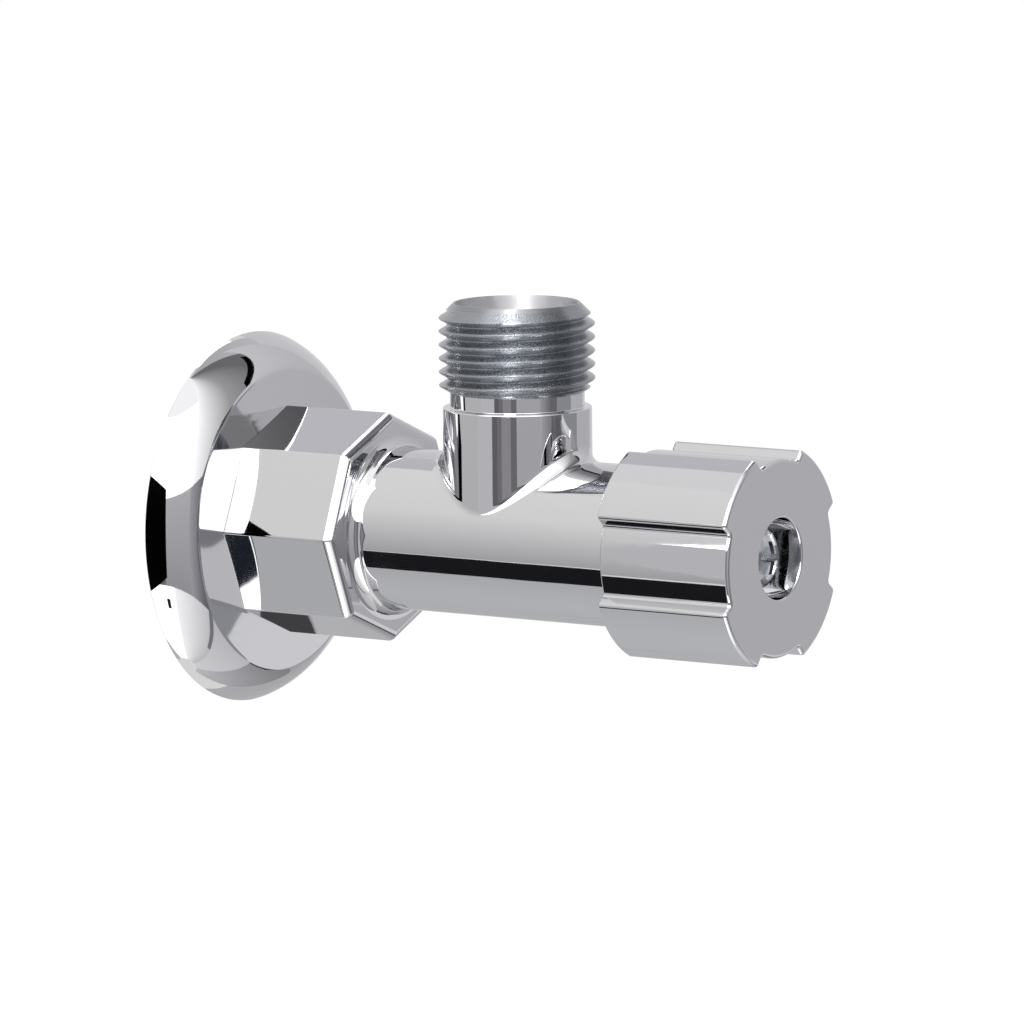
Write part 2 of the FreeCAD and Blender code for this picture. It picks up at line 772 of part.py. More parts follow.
def make_knob():
    """Cap with an open skirt, a hub for the insert, a screw well and four recesses."""
    roof = knob_front - size.knob_front_wall
    body = turned("knob", [
        (knob_back, skirt_bore),
        (knob_back, size.knob_radius),
        (knob_front, size.knob_radius),
        (knob_front, size.screw_well_radius),
        (well_floor, size.screw_well_radius),
        (well_floor, screw_hole_radius),
        (hub_back, screw_hole_radius),
        (hub_back, size.hub_radius),
        (roof, size.hub_radius),
        (roof, skirt_bore),
    ])
    recess = new_sketch(body, "YZ_Plane", along=knob_front)
    floor = size.recess_floor_half_angle
    rim = size.recess_rim_half_angle
    beyond = size.knob_radius + OVERCUT
    outline(recess, [
        at_angle(recess_radius, floor),
        at_angle(recess_radius, -floor),
        at_angle(size.knob_radius, -rim),
        at_angle(beyond, -rim),
        (size.knob_radius + OVERCUT * 3, 0),
        at_angle(beyond, rim),
        at_angle(size.knob_radius, rim),
    ], {0: (recess_radius, False)})
    repeated(body, feature(body, "Pocket", recess, Type=1, Midplane=True), KNOB_RECESSES)

    rim_edge = (size.knob_radius.value, rim.value)
    floor_edge = (recess_radius.value, floor.value)
    front = knob_front.value
    spacing = 360 / KNOB_RECESSES

    def on_lobe_edge(point):
        """Whether a point lies on a long edge at a recess's rim or floor."""
        turn = math.degrees(math.atan2(point.z, point.y)) % spacing
        off_middle = min(turn, spacing - turn)
        return any(near(off_axis(point), radius) and near(off_middle, angle, SLACK * 10)
                   for radius, angle in (rim_edge, floor_edge))

    def on_face_rim(point):
        return near(point.x, front) and off_axis(point) > recess_radius.value - SLACK

    rounded(body, size.recess_round, on_lobe_edge)
    rounded(body, size.knob_face_round, on_face_rim)

    socket = new_sketch(body, "YZ_Plane", along=hub_back)
    outline(socket, ring_of_corners(HEXAGON_SIDES, size.insert_corner_radius + size.seated_gap))
    feature(body, "Pocket", socket, Length=web_back - hub_back, Reversed=True)


def make_knob_insert():
    """Hexagonal insert with a splined bore, pressed into the knob's hub."""
    body = new_body("knob_insert")
    block = new_sketch(body, "YZ_Plane", along=hub_back)
    outline(block, ring_of_corners(HEXAGON_SIDES, size.insert_corner_radius))
    feature(body, "Pad", block, Length=web_back - hub_back)
    bore = new_sketch(body, "YZ_Plane", along=web_back)
    tip = size.spline_tip_radius + size.running_gap
    valley = size.spline_root_radius + size.running_gap
    outline(bore, ring_of_corners(SPLINES, tip, valley))
    feature(body, "Pocket", bore, Type=1, Midplane=True)


def make_knob_screw():
    """Pan head screw with a cross recess, and the spring washer under its head."""
    head_top = screw_head_back + size.screw_head_height
    edge_top = screw_head_back + size.screw_head_edge
    crown = size.screw_head_height - size.screw_head_edge
    crown_radius = (size.screw_head_radius * size.screw_head_radius + crown * crown) / (crown * 2)
    tip = screw_head_back - size.screw_length
    screw = turned("knob_screw", [
        (tip, 0),
        (tip, screw_radius - size.screw_tip_chamfer),
        (tip + size.screw_tip_chamfer, screw_radius),
        (screw_head_back, screw_radius),
        (screw_head_back, size.screw_head_radius),
        (edge_top, size.screw_head_radius),
        (head_top, 0),
    ], {5: (crown_radius, False)})
    arm = size.screw_recess_width / 2
    end = size.screw_recess_span / 2
    cross = new_sketch(screw, "YZ_Plane", along=head_top)
    outline(cross, [
        (arm, arm), (arm, end), (-arm, end), (-arm, arm), (-end, arm), (-end, -arm),
        (-arm, -arm), (-arm, -end), (arm, -end), (arm, -arm), (end, -arm), (end, arm),
    ])
    feature(screw, "Pocket", cross, Length=size.screw_recess_depth)

    washer = turned("screw_washer", [
        (well_floor, screw_hole_radius),
        (well_floor, size.screw_head_radius),
        (screw_head_back, size.screw_head_radius),
        (screw_head_back, screw_hole_radius),
    ])
    slit = new_sketch(washer, "XY_Plane")
    half_slit = size.screw_washer_slit / 2
    outline(slit, box_corners(well_floor - OVERCUT, screw_head_back + OVERCUT, -half_slit, half_slit))
    feature(washer, "Pocket", slit, Type=1)


make_valve_body()
make_wall_rosette()
make_headwork_housing()
make_seals()
make_discs()
make_spindle()
make_rings()
make_knob()
make_knob_insert()
make_knob_screw()
doc.recompute()

for item in doc.Objects:
    if "Invalid" in item.State or "Error" in item.State:
        raise RuntimeError(f"{item.Name} failed: {item.State}")
for name, body in bodies.items():
    shape = body.Shape
    if shape.isNull() or not shape.isValid() or len(shape.Solids) != 1:
        raise RuntimeError(f"{name} is not one valid solid")

os.makedirs("parts", exist_ok=True)
for name, body in bodies.items():
    body.Shape.exportStep(f"parts/{name}.step")
    box = body.Shape.BoundBox
    print(f"{name}: {body.Shape.Volume:.1f} mm3, x {box.XMin:.2f} to {box.XMax:.2f}, "
          f"z {box.ZMin:.2f} to {box.ZMax:.2f}")
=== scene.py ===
# %% [markdown]
# # A chromed supply stop valve
#
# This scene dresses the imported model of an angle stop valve, the small valve between the
# wall and a tap's supply hose. Almost all that shows is polished chrome, so the lesson is
# about mirrors: what makes a mirror look right is the exact direction of each surface and
# what stands around it, and hardly the colour of the metal. The pieces that the metal hides
# keep their CAD shape and get their own finish.

import math

import bmesh
import bpy
import numpy as np
from mathutils import Matrix, Vector


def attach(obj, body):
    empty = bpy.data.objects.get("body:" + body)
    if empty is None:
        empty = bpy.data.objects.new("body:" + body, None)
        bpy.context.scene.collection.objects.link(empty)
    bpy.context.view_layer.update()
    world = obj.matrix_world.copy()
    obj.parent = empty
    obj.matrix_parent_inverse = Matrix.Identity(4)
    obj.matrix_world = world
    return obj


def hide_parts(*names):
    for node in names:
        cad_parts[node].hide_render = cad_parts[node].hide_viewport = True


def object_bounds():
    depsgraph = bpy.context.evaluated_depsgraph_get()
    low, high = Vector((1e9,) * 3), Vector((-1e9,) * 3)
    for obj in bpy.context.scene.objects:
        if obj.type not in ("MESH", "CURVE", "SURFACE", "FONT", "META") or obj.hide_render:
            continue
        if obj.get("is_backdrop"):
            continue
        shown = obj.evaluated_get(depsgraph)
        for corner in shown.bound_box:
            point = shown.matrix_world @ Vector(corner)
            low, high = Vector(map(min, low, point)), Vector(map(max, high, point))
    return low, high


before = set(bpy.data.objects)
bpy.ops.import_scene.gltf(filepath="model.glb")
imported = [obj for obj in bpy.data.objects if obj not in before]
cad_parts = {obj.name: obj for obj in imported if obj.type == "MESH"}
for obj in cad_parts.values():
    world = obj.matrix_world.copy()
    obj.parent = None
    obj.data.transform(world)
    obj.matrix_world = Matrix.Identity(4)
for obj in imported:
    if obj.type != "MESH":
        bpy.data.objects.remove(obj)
cad_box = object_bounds()
MM = 0.001

# %% [markdown]
# ## A skin of patches
#
# Smooth shading averages the directions of neighbouring faces, which bends a mirror near
# every edge. So each chromed piece is built of patches of quads, and each corner of a patch
# carries the direction that the real surface has there. Points that patches share are
# merged, so the skin is closed. Sizes are in millimetres until the mesh is made.

# %% Gather patches and make a mesh of them
class Skin:
    """Patches of quads, with the surface's own direction at each corner."""

    def __init__(self):
        self.points = []
        self.normals = []
        self.quads = []
        self.count = 0

    def patch(self, points, normals):
        """Add rows of points, and the direction at each of them."""
        points = np.asarray(points, float)
        normals = np.broadcast_to(np.asarray(normals, float), points.shape)
        rows, columns = points.shape[:2]
        index = np.arange(rows * columns).reshape(rows, columns) + self.count
        quads = np.stack([index[:-1, :-1], index[1:, :-1], index[1:, 1:], index[:-1, 1:]], axis=-1)
        self.points.append(points.reshape(-1, 3))
        self.normals.append(normals.reshape(-1, 3))
        self.quads.append(quads.reshape(-1, 4))
        self.count += rows * columns

    def piece(self, name):
        """An object of the merged patches, faces outwards."""
        points = np.concatenate(self.points)
        normals = np.concatenate(self.normals)
        keys = np.round(points * 1e4).astype(np.int64)
        _, first, merged = np.unique(keys, axis=0, return_index=True, return_inverse=True)
        merged = merged.reshape(-1)
        places = points[first]
        faces = []
        directions = []
        for quad in np.concatenate(self.quads):
            ids = merged[quad]
            keep = [k for k in range(4) if ids[k] != ids[k - 1]]
            if len(keep) < 3 or len(set(ids[keep])) < len(keep):
                continue
            corners = places[ids[keep]]
            across = np.cross(corners[1] - corners[0], corners[2] - corners[0])
            across = across + np.cross(corners[2] - corners[0], corners[-1] - corners[0])
            if np.dot(across, normals[quad[keep]].sum(axis=0)) < 0:
                keep = keep[::-1]
            faces.append([int(i) for i in ids[keep]])
            directions.extend(normals[quad[keep]].tolist())
        mesh = bpy.data.meshes.new(name)
        mesh.from_pydata((places * MM).tolist(), [], faces)
        mesh.polygons.foreach_set("use_smooth", [True] * len(faces))
        mesh.normals_split_custom_set(directions)
        mesh.update()
        item = bpy.data.objects.new(name, mesh)
        bpy.context.collection.objects.link(item)
        check = bmesh.new()
        check.from_mesh(mesh)
        loose = sum(1 for edge in check.edges if len(edge.link_faces) != 2)
        check.free()
        print(f"{name}: {len(faces)} faces, {loose} edges without two faces")
        return item

# %% [markdown]
# ## Turned sections
#
# Most of a valve is turned on a lathe, so most patches come from a half section: corners
# with a place along the axis, a radius and an edge round. Polishing before the plating
# leaves no sharp edge, and the small rounds are what catches the light.

# %% Half sections with rounded corners
def section(corners, closed=False, arc_steps=6):
    """Runs of (place, radius) points and directions through corners (place, radius, round).
    The outside lies on the left of the way."""
    flat = [np.array(corner[:2], float) for corner in corners]
    rounds = [corner[2] if len(corner) > 2 else 0.0 for corner in corners]
    count = len(flat)
    entries, exits, bends = [], [], []
    for i in range(count):
        if rounds[i] == 0 or (not closed and i in (0, count - 1)):
            entries.append(flat[i])
            exits.append(flat[i])
            bends.append(None)
            continue
        before = (flat[i - 1] - flat[i]) / np.linalg.norm(flat[i - 1] - flat[i])
        after = (flat[(i + 1) % count] - flat[i]) / np.linalg.norm(flat[(i + 1) % count] - flat[i])
        half = math.acos(np.clip(np.dot(before, after), -1, 1)) / 2
        reach = rounds[i] / math.tan(half)
        middle = flat[i] + (before + after) / np.linalg.norm(before + after) * rounds[i] / math.sin(half)
        entries.append(flat[i] + before * reach)
        exits.append(flat[i] + after * reach)
        turn = before[0] * after[1] - before[1] * after[0]
        bends.append((middle, 1.0 if turn > 0 else -1.0))
    runs = []
    for i in range(count if closed else count - 1):
        following = (i + 1) % count
        start, end = exits[i], entries[following]
        way = end - start
        if np.linalg.norm(way) > 1e-6:
            left = np.array([-way[1], way[0]]) / np.linalg.norm(way)
            runs.append((np.array([start, end]), np.array([left, left])))
        if bends[following] is not None:
            middle, side = bends[following]
            first = (entries[following] - middle) / rounds[following]
            last = (exits[following] - middle) / rounds[following]
            angle = math.atan2(first[0] * last[1] - first[1] * last[0], np.dot(first, last))
            steps = max(arc_steps, int(abs(math.degrees(angle)) / 6))
            turns = np.linspace(0, angle, steps + 1)
            spokes = np.stack([first[0] * np.cos(turns) - first[1] * np.sin(turns),
                               first[0] * np.sin(turns) + first[1] * np.cos(turns)], axis=1)
            runs.append((middle + spokes * rounds[following], spokes * side))
    return runs


def turned_on_barrel(skin, runs, angles):
    """Turn the runs of a section about the barrel's axis."""
    across, up = np.sin(angles), np.cos(angles)
    for points, normals in runs:
        skin.patch(np.stack([np.repeat(points[:, :1], len(angles), 1),
                             points[:, 1:] * across, points[:, 1:] * up], axis=-1),
                   np.stack([np.repeat(normals[:, :1], len(angles), 1),
                             normals[:, 1:] * across, normals[:, 1:] * up], axis=-1))


def turned_on_outlet(skin, runs, angles, centre):
    """Turn the runs of a section about the outlet's axis."""
    along, across = np.cos(angles), np.sin(angles)
    for points, normals in runs:
        skin.patch(np.stack([points[:, 1:] * along + centre, points[:, 1:] * across,
                             np.repeat(points[:, :1], len(angles), 1)], axis=-1),
                   np.stack([normals[:, 1:] * along, normals[:, 1:] * across,
                             np.repeat(normals[:, :1], len(angles), 1)], axis=-1))


print("sections and turning are ready")

# %% [markdown]
# ## The rosette
#
# The rosette is a dish of thin sheet that hides the hole in the wall. It is spun or stamped
# in one blow: a nearly flat cone, a soft crease and a bulging flank down to the wall. One
# closed half section turned a full circle gives all of it, front and back.

# %% Turn the rosette
def make_rosette():
    """Closed sheet of 0.7 mm, from the wall over the flank and cone to the hole."""
    def flank(radius, first, last):
        """Three corners that carry the flank's arc: at the wall, outside the arc's middle,
        and just past its end at the crease."""
        hub = np.array([-3.68, 15.523])
        turns = np.radians([first, (first + last) / 2, last])
        spokes = np.column_stack([np.sin(turns), np.cos(turns)])
        ways = np.column_stack([np.cos(turns), -np.sin(turns)])
        start = hub + radius * spokes[0]
        bend = hub + radius * spokes[1] / math.cos(turns[1] - turns[0])
        return start - ways[0] * start[0] / ways[0][0], bend, hub + radius * spokes[2] + 0.35 * ways[2]

    skin = Skin()
    wall, bend, crease = flank(10.4, 22.0, 59.5)
    inner_wall, inner_bend, inner_crease = flank(9.7, 24.0, 59.0)
    runs = section([
        inner_wall, (*wall, 0.1), (*bend, 10.4), (*crease, 1.5), (6.58, 11.6, 1.5), (6.58, 10.65, 0.2),
        (5.88, 10.65, 0.2), (5.88, 11.6, 0.8), (*inner_crease, 0.8), (*inner_bend, 9.7),
    ], closed=True)
    turned_on_barrel(skin, runs, np.linspace(-math.pi, math.pi, 289))
    return skin.piece("rosette_chrome")


rosette = make_rosette()

# %% [markdown]
# ## The valve body
#
# The body is one brass forging, machined and plated: an octagon for the spanner, a barrel,
# and a branch that runs out of it with a small fillet. A Boolean would leave long thin
# faces where the branch meets the barrel, and a mirror shows each of them. Here a ball is
# rolled round the joint instead: its centre gives the fillet, and the barrel's skin is
# drawn from the fillet's edge to a frame of points round the barrel.

# %% The tee of two cylinders
def tee(skin, barrel, branch, ball, centre, start, end, columns, steps, spokes=None, inside=False):
    """Patches of a barrel with a branch on top, from start to end. Returns the spokes round
    the branch and the height of the branch's first ring at each."""
    frame_points = [(start, turn) for turn in columns]
    frame_points += [(start + (end - start) * k / steps, columns[-1]) for k in range(1, steps)]
    frame_points += [(end, turn) for turn in columns[::-1]]
    frame_points += [(end + (start - end) * k / steps, columns[0]) for k in range(1, steps)]
    frame_points.append(frame_points[0])
    edge = np.array(frame_points)
    if spokes is None:
        spokes = np.unwrap(np.arctan2(edge[:, 1] * barrel, edge[:, 0] - centre))
    side = -1.0 if inside else 1.0
    rolled = barrel + ball
    ball_x = (branch + ball) * np.cos(spokes) + centre
    ball_y = (branch + ball) * np.sin(spokes)
    ball_z = np.sqrt(rolled ** 2 - ball_y ** 2)
    middle = np.stack([ball_x, ball_y, ball_z], axis=-1)
    to_branch = np.stack([-np.cos(spokes), -np.sin(spokes), np.zeros_like(spokes)], axis=-1)
    to_barrel = np.stack([np.zeros_like(spokes), -ball_y / rolled, -ball_z / rolled], axis=-1)
    if ball > 0:
        bend = np.arccos(np.clip((to_branch * to_barrel).sum(axis=-1), -1, 1))[:, None]
        rows = []
        for part in np.linspace(0, 1, 13):
            rows.append((np.sin((1 - part) * bend) * to_branch + np.sin(part * bend) * to_barrel)
                        / np.sin(bend))
        rows = np.array(rows)
        skin.patch(middle + rows * ball, -rows)
    hole = np.stack([ball_x, np.arctan2(ball_y, ball_z)], axis=-1)
    parts = np.linspace(0, 1, 29)[:, None, None]
    flat = hole * (1 - parts) + edge * parts
    across, up = np.sin(flat[..., 1]), np.cos(flat[..., 1])
    skin.patch(np.stack([flat[..., 0], barrel * across, barrel * up], axis=-1),
               np.stack([np.zeros_like(up), side * across, side * up], axis=-1))
    return spokes, ball_z

# %% The octagon's outline, shared by every ring round the barrel
OCTAGON_FLAT = 14.385
OCTAGON_CORNER = 0.45


def octagon_outline(inset=0.0, flat_steps=10, corner_steps=4):
    """Points (y, z) and directions round an octagon with a corner at the top."""
    flat = OCTAGON_FLAT - inset
    half = flat * math.tan(math.pi / 8) - OCTAGON_CORNER * math.tan(math.pi / 8)
    points, directions = [], []
    for side in range(8):
        turn = -math.pi + math.pi / 8 + side * math.pi / 4
        out = np.array([math.sin(turn), math.cos(turn)])
        along = np.array([math.cos(turn), -math.sin(turn)])
        for k in range(flat_steps + 1):
            points.append(out * flat + along * half * (2 * k / flat_steps - 1))
            directions.append(out)
        hub = out * (flat - OCTAGON_CORNER) + along * half
        for k in range(1, corner_steps):
            bend = math.pi / 4 * k / corner_steps
            spoke = out * math.cos(bend) + along * math.sin(bend)
            points.append(hub + spoke * OCTAGON_CORNER)
            directions.append(spoke)
    order = list(range(-corner_steps // 2, len(points) - corner_steps // 2))
    points = [points[k] for k in order] + [points[order[0]]]
    directions = [directions[k] for k in order] + [directions[order[0]]]
    return np.array(points), np.array(directions)


ring_points, _ = octagon_outline()
columns = np.unwrap(np.arctan2(ring_points[:, 0], ring_points[:, 1]))
columns = columns - columns[0] - math.pi
print(f"{len(columns) - 1} columns round the barrel, from {math.degrees(columns[0]):.1f} degrees")

# %% Sizes of the body, in millimetres
OCTAGON_BACK = 6.58
OCTAGON_FRONT = 23.46
OCTAGON_ROUND = 1.3
# The rosette under the octagon is a land up to this radius, then a cone that falls away
LAND_RADIUS = 11.55
CONE_SLOPE = 0.1263
BARREL_RADIUS = 10.86
FOOT_ROUND = 1.7
OUTLET_CENTRE = 43.31
OUTLET_RADIUS = 9.96
BRANCH_ROUND = 2.2
CHAMBER_RADIUS = 8.75
INLET_BORE = 6.2
OUTLET_BORE = 7.0
print("octagon", OCTAGON_FRONT - OCTAGON_BACK, "mm long, barrel", 2 * BARREL_RADIUS, "mm thick")

# %% Build the body
def make_body():
    """The forging's closed skin: outside, tee, and the waterways inside."""
    skin = Skin()
    # Spigot behind the octagon, up to the octagon's back face
    spigot = section([(-9.5, INLET_BORE), (-9.5, 9.0, 0.1), (4.58, 9.0), (OCTAGON_BACK, 9.0)])
    turned_on_barrel(skin, spigot, columns)
    # Octagon: back face that follows the rosette's shallow cone, front round, front face
    rows, directions = [], []

    def octagon_row(place, inset, lean, slope=0.0):
        points, sideways = octagon_outline(inset)
        places = place - slope * (np.hypot(points[:, 0], points[:, 1]) - LAND_RADIUS)
        rows.append(np.column_stack([places, points]))
        directions.append(np.column_stack([np.full(len(points), math.sin(lean)),
                                           sideways * math.cos(lean)]))

    for k in range(5):
        lean = -math.pi / 2 * (1 - k / 4)
        octagon_row(OCTAGON_BACK + 0.04 + 0.06 * (1 + math.sin(lean)), 0.06 * (1 - math.cos(lean)),
                    lean, CONE_SLOPE)
    for k in range(13):
        lean = math.pi / 2 * k / 12
        octagon_row(OCTAGON_FRONT - OCTAGON_ROUND * (1 - math.sin(lean)),
                    OCTAGON_ROUND * (1 - math.cos(lean)), lean)
    skin.patch(rows, directions)

    def ring(place, radius):
        return np.column_stack([np.full(len(columns), place), radius * np.sin(columns),
                                radius * np.cos(columns)])

    land_ring = ring(OCTAGON_BACK + 0.01, LAND_RADIUS)
    skin.patch([ring(OCTAGON_BACK, 9.0), land_ring], (-1.0, 0.0, 0.0))
    skin.patch([land_ring, rows[0]], (-1.0, 0.0, 0.0))
    foot = BARREL_RADIUS + FOOT_ROUND
    skin.patch([rows[-1], ring(OCTAGON_FRONT, foot)], (1.0, 0.0, 0.0))
    # Foot fillet, barrel, and the barrel's end under the knob
    bends = np.linspace(0, math.pi / 2, 13)
    barrel_start = OCTAGON_FRONT + FOOT_ROUND
    fillet = np.column_stack([barrel_start - FOOT_ROUND * np.cos(bends), foot - FOOT_ROUND * np.sin(bends)])
    turned_on_barrel(skin, [(fillet, np.column_stack([np.cos(bends), np.sin(bends)]))], columns)
    turned_on_barrel(skin, section([(barrel_start, BARREL_RADIUS), (27.0, BARREL_RADIUS)]), columns)
    spokes, first_ring = tee(skin, BARREL_RADIUS, OUTLET_RADIUS, BRANCH_ROUND, OUTLET_CENTRE,
                             27.0, 59.0, columns, 24)
    barrel_end = section([(59.0, BARREL_RADIUS), (66.0, BARREL_RADIUS, 0.2), (66.0, 9.6, 0.1),
                          (64.0, 9.6), (64.0, 9.25), (52.0, 9.25), (52.0, CHAMBER_RADIUS)])
    turned_on_barrel(skin, barrel_end, columns)
    # Chamber with the outlet's bore, seat and inlet bore
    _, first_bore = tee(skin, CHAMBER_RADIUS, OUTLET_BORE, 0.0, OUTLET_CENTRE, 34.0, 52.0,
                        columns, 24, spokes, True)
    inlet = section([(34.0, CHAMBER_RADIUS), (34.0, INLET_BORE), (-9.5, INLET_BORE)])
    turned_on_barrel(skin, inlet, columns)
    # Branch, shoulder, neck, rim, mouth and bore
    along, across = np.cos(spokes), np.sin(spokes)
    heights = np.linspace(0, 1, 7)[:, None] * (17.45 - first_ring) + first_ring
    skin.patch(np.stack([np.broadcast_to(OUTLET_RADIUS * along + OUTLET_CENTRE, heights.shape),
                         np.broadcast_to(OUTLET_RADIUS * across, heights.shape), heights], axis=-1),
               np.stack([along, across, np.zeros_like(along)], axis=-1))
    branch = section([(17.45, OUTLET_RADIUS), (17.7, OUTLET_RADIUS, 0.24), (17.7, 9.0, 0.15),
                      (31.08, 9.0, 0.0), (31.63, 8.45, 0.06), (31.63, 8.21, 0.08), (23.63, 8.21),
                      (22.42, OUTLET_BORE), (20.0, OUTLET_BORE)])
    turned_on_outlet(skin, branch, spokes, OUTLET_CENTRE)
    depths = np.linspace(0, 1, 5)[:, None] * (20.0 - first_bore) + first_bore
    skin.patch(np.stack([np.broadcast_to(OUTLET_BORE * along + OUTLET_CENTRE, depths.shape),
                         np.broadcast_to(OUTLET_BORE * across, depths.shape), depths], axis=-1),
               np.stack([-along, -across, np.zeros_like(along)], axis=-1))
    return skin.piece("body_chrome")


body = make_body()

# %% [markdown]
# ## The threads
#
# Both ends carry the same G 1/2 pipe thread: a 1.814 mm pitch, flanks at 55 degrees and
# rounded crests. A thread is a rule, so Geometry Nodes draw it. A grid is sheared by one
# pitch per turn, so that its rows run along the helix, and the phase of a row gives its
# radius. Cones at both ends cut the crests off, as the lathe tool does, and merging closes
# the seam. One tree makes both threads.

# %% The thread tree
def add_node(tree, kind, settings=None, links=None):
    """Add a node, set its properties and input values, and link its inputs."""
    node = tree.nodes.new(kind)
    for name, value in (settings or {}).items():
        if isinstance(name, int):
            node.inputs[name].default_value = value
        else:
            setattr(node, name, value)
    for place, socket in (links or {}).items():
        tree.links.new(socket, node.inputs[place])
    return node


def thread_tree(material):
    """A tube whose outside is a right-hand pipe thread rising along +Z."""
    tree = bpy.data.node_groups.new("pipe_thread", "GeometryNodeTree")
    sizes = {"Major Radius": 0.01045, "Root Radius": 0.00929, "Pitch": 0.001814,
             "Foot Radius": 0.00898, "Length": 0.0114, "Start Slope": 1.6, "End Slope": 1.0}
    for name, value in sizes.items():
        socket = tree.interface.new_socket(name, in_out="INPUT", socket_type="NodeSocketFloat")
        socket.default_value = value
    socket = tree.interface.new_socket("Columns", in_out="INPUT", socket_type="NodeSocketInt")
    socket.default_value = 160
    tree.interface.new_socket("Geometry", in_out="OUTPUT", socket_type="NodeSocketGeometry")
    given = add_node(tree, "NodeGroupInput").outputs

    def maths(operation, first, second=None, third=None):
        node = add_node(tree, "ShaderNodeMath", {"operation": operation})
        for place, value in enumerate((first, second, third)):
            if value is None:
                continue
            if isinstance(value, (int, float)):
                node.inputs[place].default_value = value
            else:
                tree.links.new(value, node.inputs[place])
        return node.outputs[0]

    rows_per_pitch = 16
    row_step = maths("DIVIDE", given["Pitch"], rows_per_pitch)
    reach = maths("ADD", given["Length"], given["Pitch"])
    rows = maths("ADD", maths("CEIL", maths("DIVIDE", reach, row_step)), 1)
    span = maths("MULTIPLY", maths("SUBTRACT", rows, 1), row_step)
    around = maths("ADD", given["Columns"], 1)
    grid = add_node(tree, "GeometryNodeMeshGrid", {0: 1.0, 1: 1.0}, {2: around, 3: rows})
    position = add_node(tree, "GeometryNodeInputPosition")
    place = add_node(tree, "ShaderNodeSeparateXYZ", links={0: position.outputs[0]})
    turn = maths("ADD", place.outputs[0], 0.5)
    along = maths("SUBTRACT", maths("MULTIPLY", maths("ADD", place.outputs[1], 0.5), span), given["Pitch"])
    # The part of a turn by which the crest leads the grid's seam, as the photograph shows it
    lead = 0.59375
    phase = maths("FRACT", maths("ADD", maths("DIVIDE", along, given["Pitch"]), lead))
    ridge = maths("SUBTRACT", 1.0, maths("ABSOLUTE", maths("SUBTRACT", maths("MULTIPLY", phase, 2.0), 1.0)))
    profile = add_node(tree, "ShaderNodeMapRange", {"interpolation_type": "SMOOTHSTEP"},
                       {0: ridge, 3: given["Root Radius"], 4: given["Major Radius"]})
    height = maths("ADD", along, maths("MULTIPLY", turn, given["Pitch"]))
    height = maths("MINIMUM", maths("MAXIMUM", height, 0.0), given["Length"])
    low = maths("MULTIPLY_ADD", height, given["Start Slope"], given["Foot Radius"])
    left = maths("SUBTRACT", given["Length"], height)
    high = maths("MULTIPLY_ADD", left, given["End Slope"], given["Foot Radius"])
    radius = maths("MINIMUM", maths("MINIMUM", profile.outputs[0], low), high)
    angle = maths("MULTIPLY", turn, math.tau)
    spot = add_node(tree, "ShaderNodeCombineXYZ", links={
        0: maths("MULTIPLY", maths("COSINE", angle), radius),
        1: maths("MULTIPLY", maths("SINE", angle), radius),
        2: height})
    bent = add_node(tree, "GeometryNodeSetPosition", links={0: grid.outputs[0], 2: spot.outputs[0]})
    merged = add_node(tree, "GeometryNodeMergeByDistance", {2: 2e-6}, {0: bent.outputs[0]})
    real = add_node(tree, "GeometryNodeRealizeInstances", links={0: merged.outputs[0]})
    dressed = add_node(tree, "GeometryNodeSetMaterial", {2: material}, {0: real.outputs[0]})
    add_node(tree, "NodeGroupOutput", links={0: dressed.outputs[0]})
    return tree


def cut_thread(name, tree, sizes, place):
    """A closed sleeve with the thread, set in its place in the row's frame."""
    carrier = bpy.data.objects.new(name, bpy.data.meshes.new(name))
    bpy.context.collection.objects.link(carrier)
    nodes = carrier.modifiers.new("thread", "NODES")
    nodes.node_group = tree
    for socket in tree.interface.items_tree:
        if socket.in_out == "INPUT" and socket.name in sizes:
            nodes[socket.identifier] = sizes[socket.name]
    view = bpy.context.evaluated_depsgraph_get()
    mesh = bpy.data.meshes.new_from_object(carrier.evaluated_get(view), depsgraph=view)
    carrier.modifiers.remove(nodes)
    mesh.name = name
    carrier.data = mesh
    shape = bmesh.new()
    shape.from_mesh(mesh)
    bmesh.ops.remove_doubles(shape, verts=shape.verts, dist=2e-6)
    bmesh.ops.dissolve_degenerate(shape, dist=1e-6, edges=shape.edges)
    ends = [edge for edge in shape.edges if edge.is_boundary]
    bmesh.ops.bridge_loops(shape, edges=ends)
    bmesh.ops.transform(shape, matrix=place, verts=shape.verts)
    bmesh.ops.recalc_face_normals(shape, faces=shape.faces)
    loose = sum(1 for edge in shape.edges if len(edge.link_faces) != 2)
    shape.to_mesh(mesh)
    shape.free()
    mesh.polygons.foreach_set("use_smooth", [True] * len(mesh.polygons))
    mesh.set_sharp_from_angle(angle=math.radians(38))
    print(f"{name}: {len(mesh.polygons)} faces, {loose} edges without two faces")
    return carrier


print("thread tree is ready")

# %% [markdown]
# ## The knob
#
# The knob is a plated cap with four shallow recesses that give the fingers a grip. Its
# outline is worked out once, with a small ball rolled into each corner, and drawn at each
# place along the axis. At the face the outline shrinks along its own directions, which
# gives an even round all the way.

# %% The knob's outline
KNOB_RADIUS = 14.9
RECESS_RADIUS = 13.15
RECESS_ROUND = 0.6


